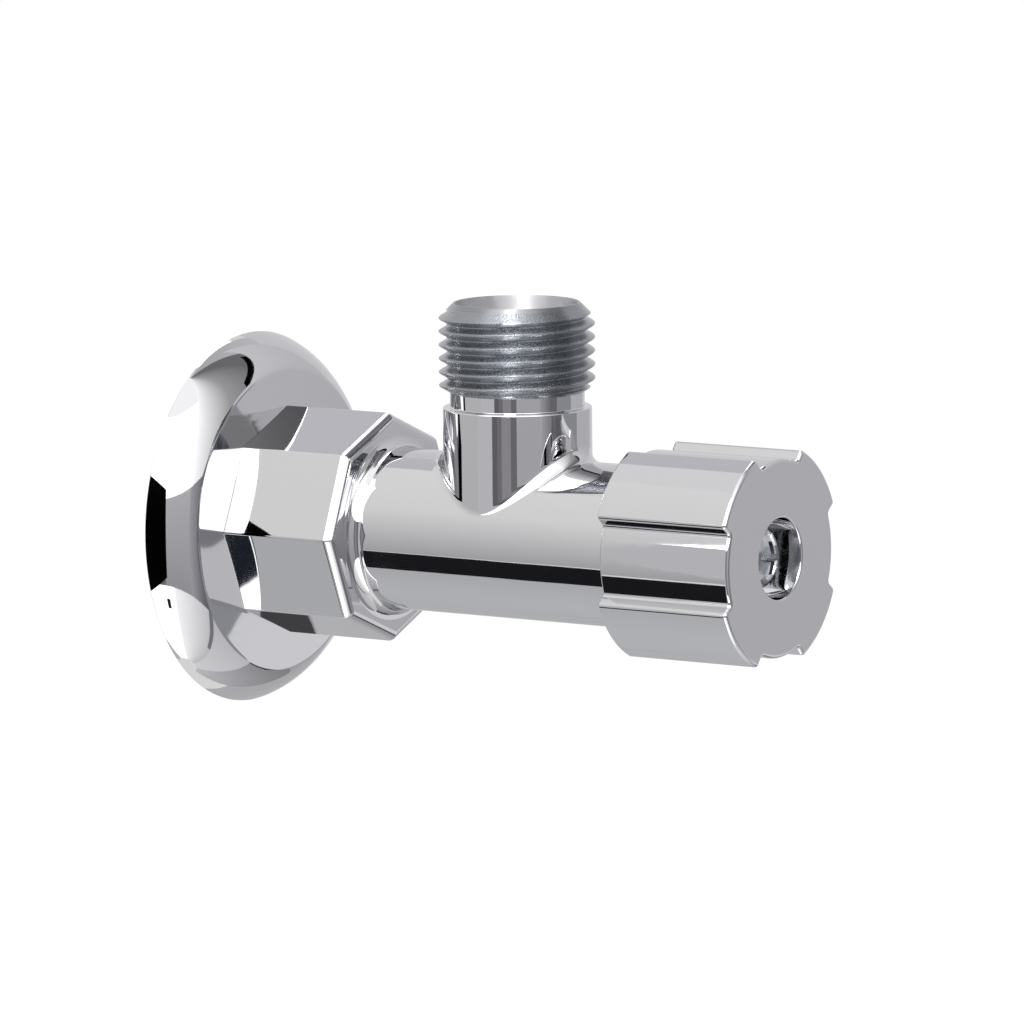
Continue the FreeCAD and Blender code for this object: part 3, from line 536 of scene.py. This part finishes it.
def knob_corner(radius, outside):
    """Centre of the ball in the corner between a recess's wall and an arc, in the (y, z)
    plane for the recess about +Y, and where it touches the wall and the arc."""
    floor = RECESS_RADIUS * np.array([math.cos(math.radians(20.5)), math.sin(math.radians(20.5))])
    rim = KNOB_RADIUS * np.array([math.cos(math.radians(22.6)), math.sin(math.radians(22.6))])
    along = (rim - floor) / np.linalg.norm(rim - floor)
    into_metal = np.array([-along[1], along[0]])
    side = 1.0 if outside else -1.0
    reach = radius - side * RECESS_ROUND
    start = floor + into_metal * RECESS_ROUND * side
    middle = np.dot(start, along)
    root = math.sqrt(middle ** 2 - np.dot(start, start) + reach ** 2)
    ball = start + along * (-middle + root)
    on_wall = ball - into_metal * RECESS_ROUND * side
    on_arc = ball / np.linalg.norm(ball) * radius
    return ball, on_wall, on_arc


def arc_points(middle, start, end, steps, out):
    """Points from start to end about middle, with their directions."""
    first, last = start - middle, end - middle
    angle = math.atan2(first[0] * last[1] - first[1] * last[0], np.dot(first, last))
    points, directions = [], []
    for k in range(steps + 1):
        bend = angle * k / steps
        spoke = np.array([first[0] * math.cos(bend) - first[1] * math.sin(bend),
                          first[0] * math.sin(bend) + first[1] * math.cos(bend)])
        points.append(middle + spoke)
        directions.append(spoke / np.linalg.norm(spoke) * out)
    return points, directions


def knob_outline():
    """Points (y, z) and directions once round the knob, as runs that share their ends."""
    floor_ball, floor_wall, floor_arc = knob_corner(RECESS_RADIUS, False)
    rim_ball, rim_wall, rim_arc = knob_corner(KNOB_RADIUS, True)
    centre = np.zeros(2)
    axis = np.array([RECESS_RADIUS, 0.0])
    diagonal = KNOB_RADIUS * np.array([math.sqrt(0.5), math.sqrt(0.5)])
    wall_out = floor_ball - floor_wall
    wall_out = wall_out / np.linalg.norm(wall_out)
    eighth = [
        arc_points(centre, axis, floor_arc, 10, 1.0),
        arc_points(floor_ball, floor_arc, floor_wall, 6, -1.0),
        ([floor_wall, (floor_wall + rim_wall) / 2, rim_wall], [wall_out] * 3),
        arc_points(rim_ball, rim_wall, rim_arc, 8, 1.0),
        arc_points(centre, rim_arc, diagonal, 14, 1.0),
    ]
    points, directions = [], []
    for run_points, run_directions in eighth:
        skip = 1 if points else 0
        points += list(run_points)[skip:]
        directions += list(run_directions)[skip:]
    points, directions = np.array(points), np.array(directions)
    mirrored = points[::-1, ::-1][1:], directions[::-1, ::-1][1:]
    quarter = np.concatenate([points, mirrored[0]]), np.concatenate([directions, mirrored[1]])
    full_points, full_directions = [], []
    for k in range(4):
        turn = np.array([[math.cos(k * math.pi / 2), -math.sin(k * math.pi / 2)],
                         [math.sin(k * math.pi / 2), math.cos(k * math.pi / 2)]])
        full_points.append((quarter[0] @ turn.T)[:-1])
        full_directions.append((quarter[1] @ turn.T)[:-1])
    full_points = np.concatenate(full_points + [full_points[0][:1]])
    full_directions = np.concatenate(full_directions + [full_directions[0][:1]])
    return full_points, full_directions


outline_points, outline_directions = knob_outline()
print(f"{len(outline_points) - 1} points round the knob")

# %% Build the knob
def make_knob():
    """Closed skin of the cap: lobed outside, face, screw well, skirt and hub."""
    skin = Skin()
    rows, directions = [], []

    def row(place, inset, lean):
        points = outline_points - outline_directions * inset
        rows.append(np.column_stack([np.full(len(points), place), points]))
        directions.append(np.column_stack([np.full(len(points), math.sin(lean)),
                                           outline_directions * math.cos(lean)]))

    for k in range(5):
        lean = -math.pi / 2 * (1 - k / 4)
        row(64.5 + 0.25 * (1 + math.sin(lean)), 0.25 * (1 - math.cos(lean)), lean)
    for place in np.linspace(66.0, 83.0, 6):
        row(place, 0.0, 0.0)
    for k in range(11):
        lean = math.pi / 2 * k / 10
        row(84.3 - 0.5 * (1 - math.sin(lean)), 0.5 * (1 - math.cos(lean)), lean)
    skin.patch(rows, directions)
    turns = np.unwrap(np.arctan2(outline_points[:, 0], outline_points[:, 1]))

    def ring(place, radius):
        return np.column_stack([np.full(len(turns), place), radius * np.sin(turns), radius * np.cos(turns)])

    skin.patch([rows[-1], ring(84.3, 5.65)], (1.0, 0.0, 0.0))
    skin.patch([ring(64.5, 11.3), rows[0]], (-1.0, 0.0, 0.0))
    inside = section([
        (84.3, 5.65), (84.3, 5.35, 0.29), (79.2, 5.35, 0.3), (79.2, 2.2), (77.2, 2.2), (77.2, 7.0),
        (72.6, 7.0), (72.6, 8.4), (82.1, 8.4), (82.1, 11.3), (64.5, 11.3)])
    turned_on_barrel(skin, inside, turns)
    return skin.piece("knob_chrome")


knob = make_knob()

# %% [markdown]
# ## Finishes
#
# Chrome plate is a thin, hard, slightly blue mirror over polished brass. It reflects about
# two thirds of the light and shows almost nothing of its own, so its own colour is one value
# and its detail is faint: a slow waviness from the polishing wheel and very fine haze. The
# cut threads and the outlet's chamfer get a darker tone, and that darkening is painted shade.
# The inner pieces are turned brass, EPDM rubber, alumina ceramic, acetal and stainless steel.

# %% Colours and small helpers for materials
def colour(code):
    """A linear colour from an sRGB hex value."""
    channels = [int(code[k:k + 2], 16) / 255 for k in (0, 2, 4)]
    linear = [c / 12.92 if c <= 0.04045 else ((c + 0.055) / 1.055) ** 2.4 for c in channels]
    return (*linear, 1.0)


def new_material(name):
    """A material with its node tree, its surface shader and the piece's own coordinates."""
    material = bpy.data.materials.new(name)
    material.use_nodes = True
    tree = material.node_tree
    shader = tree.nodes["Principled BSDF"]
    place = add_node(tree, "ShaderNodeTexCoord").outputs["Object"]
    return material, tree, shader, place


def set_surface(shader, **values):
    """Set constants on the shader's own sockets."""
    for name, value in values.items():
        shader.inputs[name.replace("_", " ")].default_value = value


print("colour helper:", [round(c, 3) for c in colour("cdced2")])

# %% Polished chrome plate
def polished_chrome():
    """Chrome plate on polished brass: a clear mirror with the wheel's slow waviness."""
    material, tree, shader, place = new_material("polished_chrome_plate")
    set_surface(shader, Base_Color=colour("cdcdcf"), Metallic=1.0)
    # Very fine haze, drawn in patches of about 4 mm so that it shows
    haze = add_node(tree, "ShaderNodeTexNoise", {"noise_dimensions": "3D", 2: 250.0, 3: 3.0}, {0: place})
    rough = add_node(tree, "ShaderNodeMapRange", {1: 0.3, 2: 0.7, 3: 0.02, 4: 0.045}, {0: haze.outputs[0]})
    tree.links.new(rough.outputs[0], shader.inputs["Roughness"])
    # The wheel leaves waves of about 6 mm that are a fraction of a micron high
    wave = add_node(tree, "ShaderNodeTexNoise", {"noise_dimensions": "3D", 2: 160.0, 3: 1.0}, {0: place})
    bump = add_node(tree, "ShaderNodeBump", {0: 0.06, 1: 0.0002}, {"Height": wave.outputs[0]})
    tree.links.new(bump.outputs[0], shader.inputs["Normal"])
    return material


chrome = polished_chrome()
print("chrome:", chrome.name)

# %% Finishes of the inner pieces
def turned_brass():
    """Free-cutting brass, turned: fine rings round the barrel's axis, a warm satin."""
    material, tree, shader, place = new_material("turned_brass")
    set_surface(shader, Metallic=1.0)
    axis = add_node(tree, "ShaderNodeSeparateXYZ", links={0: place})
    ring = add_node(tree, "ShaderNodeTexNoise", {"noise_dimensions": "1D", 1: 0.0, 2: 9000.0, 3: 2.0},
                    {1: axis.outputs[0]})
    tone = add_node(tree, "ShaderNodeMix", {"data_type": "RGBA", 6: colour("c9a75e"), 7: colour("dcc07c")},
                    {0: ring.outputs[0]})
    tree.links.new(tone.outputs[2], shader.inputs["Base Color"])
    rough = add_node(tree, "ShaderNodeMapRange", {1: 0.3, 2: 0.7, 3: 0.22, 4: 0.38}, {0: ring.outputs[0]})
    tree.links.new(rough.outputs[0], shader.inputs["Roughness"])
    bump = add_node(tree, "ShaderNodeBump", {0: 0.4, 1: 0.00003}, {"Height": ring.outputs[0]})
    tree.links.new(bump.outputs[0], shader.inputs["Normal"])
    return material


def turned_chrome(name, tone, smooth, rough_to, depth, axis=(0.02, 0.01, 1.0)):
    """Chrome over a turned face or a cut thread. The tool went round the axis, so its fine
    rings spread the light along that axis."""
    material, tree, shader, place = new_material(name)
    set_surface(shader, Base_Color=colour(tone), Metallic=1.0, Anisotropic=0.85)
    along = add_node(tree, "ShaderNodeCombineXYZ", dict(enumerate(axis)))
    tree.links.new(along.outputs[0], shader.inputs["Tangent"])
    # Tool chatter of about 0.25 mm, coarser than the real marks so that it shows
    grain = add_node(tree, "ShaderNodeTexNoise", {"noise_dimensions": "3D", 2: 4000.0, 3: 2.0}, {0: place})
    rough = add_node(tree, "ShaderNodeMapRange", {1: 0.3, 2: 0.7, 3: smooth, 4: rough_to},
                     {0: grain.outputs[0]})
    tree.links.new(rough.outputs[0], shader.inputs["Roughness"])
    bump = add_node(tree, "ShaderNodeBump", {0: 0.4, 1: depth}, {"Height": grain.outputs[0]})
    tree.links.new(bump.outputs[0], shader.inputs["Normal"])
    return material


def fine_grained(name, low, high, scale, smooth, rough_to, metallic=0.0, depth=0.00002):
    """A finish with two near tones and a fine relief, for a moulded or lapped piece."""
    material, tree, shader, place = new_material(name)
    set_surface(shader, Metallic=metallic)
    grain = add_node(tree, "ShaderNodeTexNoise", {"noise_dimensions": "3D", 2: scale, 3: 4.0}, {0: place})
    tone = add_node(tree, "ShaderNodeMix", {"data_type": "RGBA", 6: colour(low), 7: colour(high)},
                    {0: grain.outputs[0]})
    tree.links.new(tone.outputs[2], shader.inputs["Base Color"])
    rough = add_node(tree, "ShaderNodeMapRange", {1: 0.3, 2: 0.7, 3: smooth, 4: rough_to},
                     {0: grain.outputs[0]})
    tree.links.new(rough.outputs[0], shader.inputs["Roughness"])
    bump = add_node(tree, "ShaderNodeBump", {0: 0.3, 1: depth}, {"Height": grain.outputs[0]})
    tree.links.new(bump.outputs[0], shader.inputs["Normal"])
    return material


# EPDM rubber from a mould: black, slightly chalky where it was wiped
rubber = fine_grained("moulded_epdm_rubber", "141415", "222224", 2500.0, 0.5, 0.7)
# Alumina disc, lapped to a mirror: white with a hint of cream
ceramic = fine_grained("lapped_alumina_ceramic", "ebe8e0", "f4f2ec", 3000.0, 0.12, 0.2)
# Acetal rings and insert from a mould: milky white
acetal = fine_grained("moulded_acetal", "dcdbd4", "e8e7e1", 900.0, 0.35, 0.5)
# Stainless screw, headed and tumbled: dull grey with small dents and scratches
steel = fine_grained("tumbled_stainless_steel", "b4b7bb", "d8dadd", 1800.0, 0.14, 0.3, 1.0, 0.00012)
brass = turned_brass()
# Chrome over a cut thread, which isn't polished: fine tool marks make it satin. Its tone is
# far darker than the polished plate's. That darkening is painted shade, set against the strong key card.
cut_thread_chrome_painted_shade = turned_chrome("chrome_plate_on_cut_thread_painted_shade", "94979c", 0.2, 0.36, 0.00005)
inlet_thread_chrome_painted_shade = turned_chrome("chrome_plate_on_inlet_thread_painted_shade", "94979c", 0.2, 0.36, 0.00005, (1.0, 0.02, 0.01))
# Chrome over the outlet's turned chamfer and rim, and over the rougher mouth inside. The
# chamfer's tone, darker than the polished plate's, is painted shade. The mouth keeps about the plate's own
# tone.
chamfer_chrome_painted_shade = turned_chrome("chrome_plate_on_turned_chamfer_painted_shade", "929498", 0.3, 0.4, 0.000004)
mouth_chrome = turned_chrome("chrome_plate_in_turned_mouth", "cccccf", 0.42, 0.52, 0.000004)
print("other finishes:", [m.name for m in (brass, rubber, ceramic, acetal, steel, cut_thread_chrome_painted_shade,
                                           inlet_thread_chrome_painted_shade, chamfer_chrome_painted_shade, mouth_chrome)])

# %% Dress the pieces and cut the threads
def dress(item, material):
    """Give an object one material."""
    if item.data.materials:
        for place in range(len(item.data.materials)):
            item.material_slots[place].material = material
    else:
        item.data.materials.append(material)


for item in (rosette, body, knob):
    dress(item, chrome)
# The outlet's chamfer and rim, and the mouth inside them, are turned but not polished.
# The chamfer and rim get a tone that is darkened as painted shade.
body.data.materials.append(chamfer_chrome_painted_shade)
body.data.materials.append(mouth_chrome)
for face in body.data.polygons:
    off_axis = math.hypot(face.center.x - OUTLET_CENTRE * MM, face.center.y)
    if face.center.z > 0.031 and off_axis < 0.0091:
        face.material_index = 1
    if face.center.z > 0.020 and off_axis < 0.00822:
        face.material_index = 2
finishes = {
    "headwork_housing": brass, "spindle": brass, "stop_ring": brass, "headwork_o_ring": rubber,
    "seat_seal": rubber, "spindle_o_ring_inner": rubber, "spindle_o_ring_outer": rubber,
    "fixed_disc": ceramic, "moving_disc": ceramic, "seal_support_ring": acetal,
    "thrust_washer": acetal, "knob_insert": acetal, "snap_ring": steel, "knob_screw": steel,
    "screw_washer": steel,
}
for node, material in finishes.items():
    dress(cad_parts[node], material)
pipe_thread = thread_tree(cut_thread_chrome_painted_shade)
outlet_thread = cut_thread("outlet_thread", pipe_thread, {"Length": 0.0114, "Start Slope": 1.6},
                           Matrix.Translation((OUTLET_CENTRE * MM, 0, 0.0197)))
inlet_thread = cut_thread("inlet_thread", pipe_thread, {"Length": 0.01408, "Start Slope": 1.6},
                          Matrix.Translation((0.00458, 0, 0)) @ Matrix.Rotation(-math.pi / 2, 4, "Y"))
dress(inlet_thread, inlet_thread_chrome_painted_shade)
print("dressed:", len(finishes) + 5, "pieces")

# %% Tie the pieces to the moving bodies
for item in (rosette, body, outlet_thread, inlet_thread):
    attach(item, "valve")
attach(knob, "handle")
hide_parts("wall_rosette")
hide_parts("valve_body")
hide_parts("knob")
print("replaced nodes: wall_rosette, valve_body, knob")

# %% [markdown]
# ## The studio
#
# The photograph was taken in a white tent. A mirror shows the whole room, so the room is
# built like that tent: a white surround, a pale floor well below the valve, and cards on
# the sides, where the darker ones give the metal its dark bands. The camera stands where a
# fit to the photograph's edges puts it, with a long lens.

# %% Camera
def place_camera():
    """Camera 1.2 m away, turned 33.3 degrees to the barrel and 7.9 degrees down."""
    turn, lift, roll = math.radians(33.27), math.radians(7.90), math.radians(-0.59)
    back = Vector((math.sin(turn) * math.cos(lift), -math.cos(turn) * math.cos(lift), math.sin(lift)))
    right = Vector((math.cos(turn), math.sin(turn), 0))
    up = back.cross(right)
    right, up = (right * math.cos(roll) + up * math.sin(roll), up * math.cos(roll) - right * math.sin(roll))
    place = right * 0.03534 + up * 0.00051 + back * 1.2
    camera = bpy.data.objects.new("camera", bpy.data.cameras.new("camera"))
    camera.data.lens = 309.7
    camera.data.sensor_width = 36.0
    camera.data.clip_start = 0.05
    camera.data.clip_end = 20.0
    camera.matrix_world = Matrix.Translation(place) @ Matrix((right, up, back)).transposed().to_4x4()
    bpy.context.collection.objects.link(camera)
    bpy.context.scene.camera = camera
    return camera


camera = place_camera()
print("camera at", [round(v, 4) for v in camera.matrix_world.translation])

# %% White surround
def white_tent():
    """A world that is white to the camera and in reflections, and a plain soft light."""
    world = bpy.data.worlds.new("white_tent")
    bpy.context.scene.world = world
    world.use_nodes = True
    tree = world.node_tree
    tree.nodes.clear()
    white = add_node(tree, "ShaderNodeBackground", {0: (1, 1, 1, 1), 1: 1.0})
    add_node(tree, "ShaderNodeOutputWorld", links={0: white.outputs[0]})
    return world


white_tent()
print("world:", bpy.context.scene.world.name)

# %% Floor and cards
def sheet_of(name, corners, material):
    """A flat four-cornered stage piece in metres."""
    mesh = bpy.data.meshes.new(name)
    mesh.from_pydata([tuple(corner) for corner in corners], [], [(0, 1, 2, 3)])
    item = bpy.data.objects.new(name, mesh)
    bpy.context.collection.objects.link(item)
    item.data.materials.append(material)
    item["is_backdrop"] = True
    return item


def floor_material():
    """Pale matt floor that shows white, and keeps the object's shadow."""
    material, tree, shader, _ = new_material("pale_studio_floor")
    path = add_node(tree, "ShaderNodeLightPath")
    seen = add_node(tree, "ShaderNodeMath", {"operation": "ADD", "use_clamp": True},
                    {0: path.outputs["Is Camera Ray"], 1: path.outputs["Is Glossy Ray"]})
    seen = add_node(tree, "ShaderNodeMath", {"operation": "ADD", "use_clamp": True},
                    {0: seen.outputs[0], 1: path.outputs["Is Transmission Ray"]})
    lift = add_node(tree, "ShaderNodeMath", {"operation": "MULTIPLY", 1: 0.12}, {0: seen.outputs[0]})
    set_surface(shader, Base_Color=colour("f4f4f3"), Roughness=0.9, Emission_Color=(1, 1, 1, 1))
    tree.links.new(lift.outputs[0], shader.inputs["Emission Strength"])
    return material


# A card of full tone shows white in the plate, which reflects 0.61 of what it sees
CARD_STRENGTH = 1 / 0.61


def card_material(name, first, last, gain=1.0):
    """A lit card that fades from one tone to another. Each tone is written as it then
    shows in the chrome, and the gain makes a lamp of it."""
    material, tree, shader, _ = new_material(name)
    set_surface(shader, Base_Color=(0, 0, 0, 1), Roughness=1.0, Specular_IOR_Level=0.0,
                Emission_Strength=CARD_STRENGTH * gain)
    blend = add_node(tree, "ShaderNodeAttribute", {"attribute_name": "blend"})
    tone = add_node(tree, "ShaderNodeMix", {"data_type": "RGBA", 6: colour(first), 7: colour(last)},
                    {0: blend.outputs["Fac"]})
    tree.links.new(tone.outputs[2], shader.inputs["Emission Color"])
    return material


def reflections_only(item):
    """Leave a card to the reflections: no camera, no shadow, no light on the floor."""
    item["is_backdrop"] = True
    item.visible_camera = False
    item.visible_shadow = False
    item.visible_diffuse = False
    return item


def dome_card(name, azimuths, elevations, first, last="", sideways=False, rise=0.0, gain=1.0, distance=1.5):
    """A card bent round the valve. Azimuth 0 is in front, 90 towards the knob. It fades
    upwards, or sideways, and its top edge can rise towards its right end."""
    points, blends = [], []
    for up in np.linspace(0, 1, 9):
        for along in np.linspace(0, 1, 13):
            turn = math.radians(azimuths[0] + (azimuths[1] - azimuths[0]) * along)
            top = elevations[1] + rise * along
            lift = math.radians(elevations[0] + (top - elevations[0]) * up)
            points.append((math.sin(turn) * math.cos(lift) * distance,
                           -math.cos(turn) * math.cos(lift) * distance, math.sin(lift) * distance))
            blends.append(along if sideways else up)
    faces = [(r * 13 + c, r * 13 + c + 1, r * 13 + c + 14, r * 13 + c + 13)
             for r in range(8) for c in range(12)]
    mesh = bpy.data.meshes.new(name)
    mesh.from_pydata(points, [], faces)
    mesh.attributes.new("blend", "FLOAT", "POINT").data.foreach_set("value", blends)
    item = bpy.data.objects.new(name, mesh)
    bpy.context.collection.objects.link(item)
    item.data.materials.append(card_material(name, first, last or first, gain))
    return reflections_only(item)


def flat_card(name, corners, tone):
    """A flat card given by its corners in millimetres."""
    return reflections_only(sheet_of(name, [Vector(corner) * MM for corner in corners],
                                     card_material(name, tone, tone)))


print("stage helpers are ready")

# %% Set the stage
floor = sheet_of("studio_floor", [(-25, -25, -1.7), (25, -25, -1.7), (25, 25, -1.7), (-25, 25, -1.7)],
                 floor_material())
cards = [
    # Left wall, lit from above: the light upper half of the barrel, octagon and knob
    dome_card("left_wall_low", (-110, -30), (-22, 30), "9b9b9d", "cecdcc"),
    dome_card("left_wall_high", (-110, -30), (30, 58), "cecdcc", "d2d1d0"),
    dome_card("left_wall_edge", (-30, -5), (-33, 13), "b0b0b2"),
    # Softboxes above and below the camera's side: the white of the rosette and of rounds
    dome_card("upper_softbox", (-30, 75), (13, 62), "fdfdfd", gain=1.8),
    dome_card("key_light", (10, 32), (34, 60), "ffffff", gain=13.0, distance=1.45),
    dome_card("top_softbox", (-130, 75), (62, 90), "f2f2f2"),
    dome_card("upper_fade", (75, 112), (13, 90), "fbfbfb", "989899", sideways=True),
    dome_card("upper_back", (112, 144), (13, 90), "969697", "646466", sideways=True),
    dome_card("upper_back_end", (144, 165), (13, 90), "666668"),
    dome_card("lower_left", (-34, -2), (-84, -34), "acacad"),
    dome_card("lower_softbox", (-2, 45), (-84, -34), "fcfcfc", gain=1.8),
    dome_card("lower_fade", (45, 100), (-84, -34), "f2f2f2", "b4b4b6", sideways=True),
    # Front: the gap of the camera, and the greyer wall to its right
    dome_card("camera_gap", (-5, 3), (-34, 13), "5c595e"),
    dome_card("camera_stand", (3, 10), (-34, 13), "6a676c"),
    dome_card("camera_gap_side", (10, 24), (-34, 13), "838085"),
    dome_card("front_seam", (24, 33), (-34, 13), "656367"),
    dome_card("front_wall", (33, 72), (-34, 13), "8d8c90", "a8a7aa"),
    dome_card("front_wall_right", (72, 92), (-34, 13), "96959a", "626165", sideways=True),
    # Below on the left: the grey table that the lower half of the barrel sees
    dome_card("table_left", (-150, -34), (-62, -23), "aeafb1", "9a9a9b"),
    # Right and behind: dim room, and a lighter back wall under a slanted ceiling edge
    dome_card("right_seam", (92, 104), (-34, 13), "626165"),
    dome_card("right_dim", (104, 136), (-34, 13), "838488", distance=1.45),
    dome_card("back_wall", (119, 180), (-34, 26), "96969a", "bfbfc1", rise=38, distance=1.47),
    dome_card("dark_door", (127, 158), (20, 38), "030303", rise=17, distance=1.48),
    dome_card("back_skirting", (130, 160), (-34, -11.5), "c5c5c8", distance=1.46),
    dome_card("low_gap", (138, 155), (-42, -34), "464648", distance=1.46),
    dome_card("low_line", (95, 100), (-60, -34), "707072", distance=1.46),
    dome_card("back_wall_left", (-180, -125), (-20, 40), "b4b4b6", "bbbbbd"),
    dome_card("back_top_left", (-145, -110), (30, 62), "b2b2b6"),
    dome_card("back_window", (-164, -134), (50, 80), "f4f4f4", gain=4.0, distance=1.45),
    dome_card("back_top_middle", (165, 195), (40, 90), "b2b2b4", "a0a0a2"),
    dome_card("back_low_left", (-180, -125), (-62, -20), "a6a6a8", "9c9c9e"),
    dome_card("low_right", (100, 140), (-84, -34), "cbcbcc", "b0b0b2"),
    dome_card("low_back", (140, 180), (-84, -34), "b6b6b8", "7a7a7c"),
]
print("stage:", floor.name, "and", len(cards), "cards")

# %% Black flags
def flag_on_ring(name, lifts, left, right, distance, tone):
    """A far card that only the upright-sided pieces between two places along the barrel see.
    It follows the directions in which a cylinder along X sends the camera's view."""
    back = np.array([0.5434, -0.8281, 0.1374])
    rows = []
    for lift in np.linspace(*lifts, 7):
        lean = 0.0
        for _ in range(40):
            normal = np.array([0.0, -math.cos(lean), math.sin(lean)])
            way = 2 * np.dot(normal, back) * normal - back
            lean += (math.radians(lift) - math.asin(way[2])) * 0.5
        spot = normal * 10.86
        rows.append([np.array([x, spot[1], spot[2]]) + way * distance for x in (left, right)])
    points = [tuple(point * MM) for row in rows for point in row]
    faces = [(2 * k, 2 * k + 1, 2 * k + 3, 2 * k + 2) for k in range(6)]
    mesh = bpy.data.meshes.new(name)
    mesh.from_pydata(points, [], faces)
    item = bpy.data.objects.new(name, mesh)
    bpy.context.collection.objects.link(item)
    item.data.materials.append(card_material(name, tone, tone))
    return reflections_only(item)


flags = [
    flag_on_ring("barrel_flag", (-42.0, -22.5), 14.0, 112.0, 400.0, "17171a"),
    # The dark edge on the rosette's left, and the dark patch on the octagon's lower left face
    flat_card("rosette_flag", [(-30, -27, 24), (4.9, -27, 8), (4.9, -27, -7.8), (-30, -27, -21)], "020202"),
    dome_card("octagon_flag", (30, 36), (-47.5, -41.5), "22252e", distance=1.4),
]
print("flags:", [flag.name for flag in flags])

# %% Colour management
scene = bpy.context.scene
scene.view_settings.view_transform = "Standard"
print("view transform:", scene.view_settings.view_transform)

# %% Sizes, kept for comparison
visual_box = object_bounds()
print("CAD box and visual box:", [[round(v, 5) for v in c] for c in (*cad_box, *visual_box)])
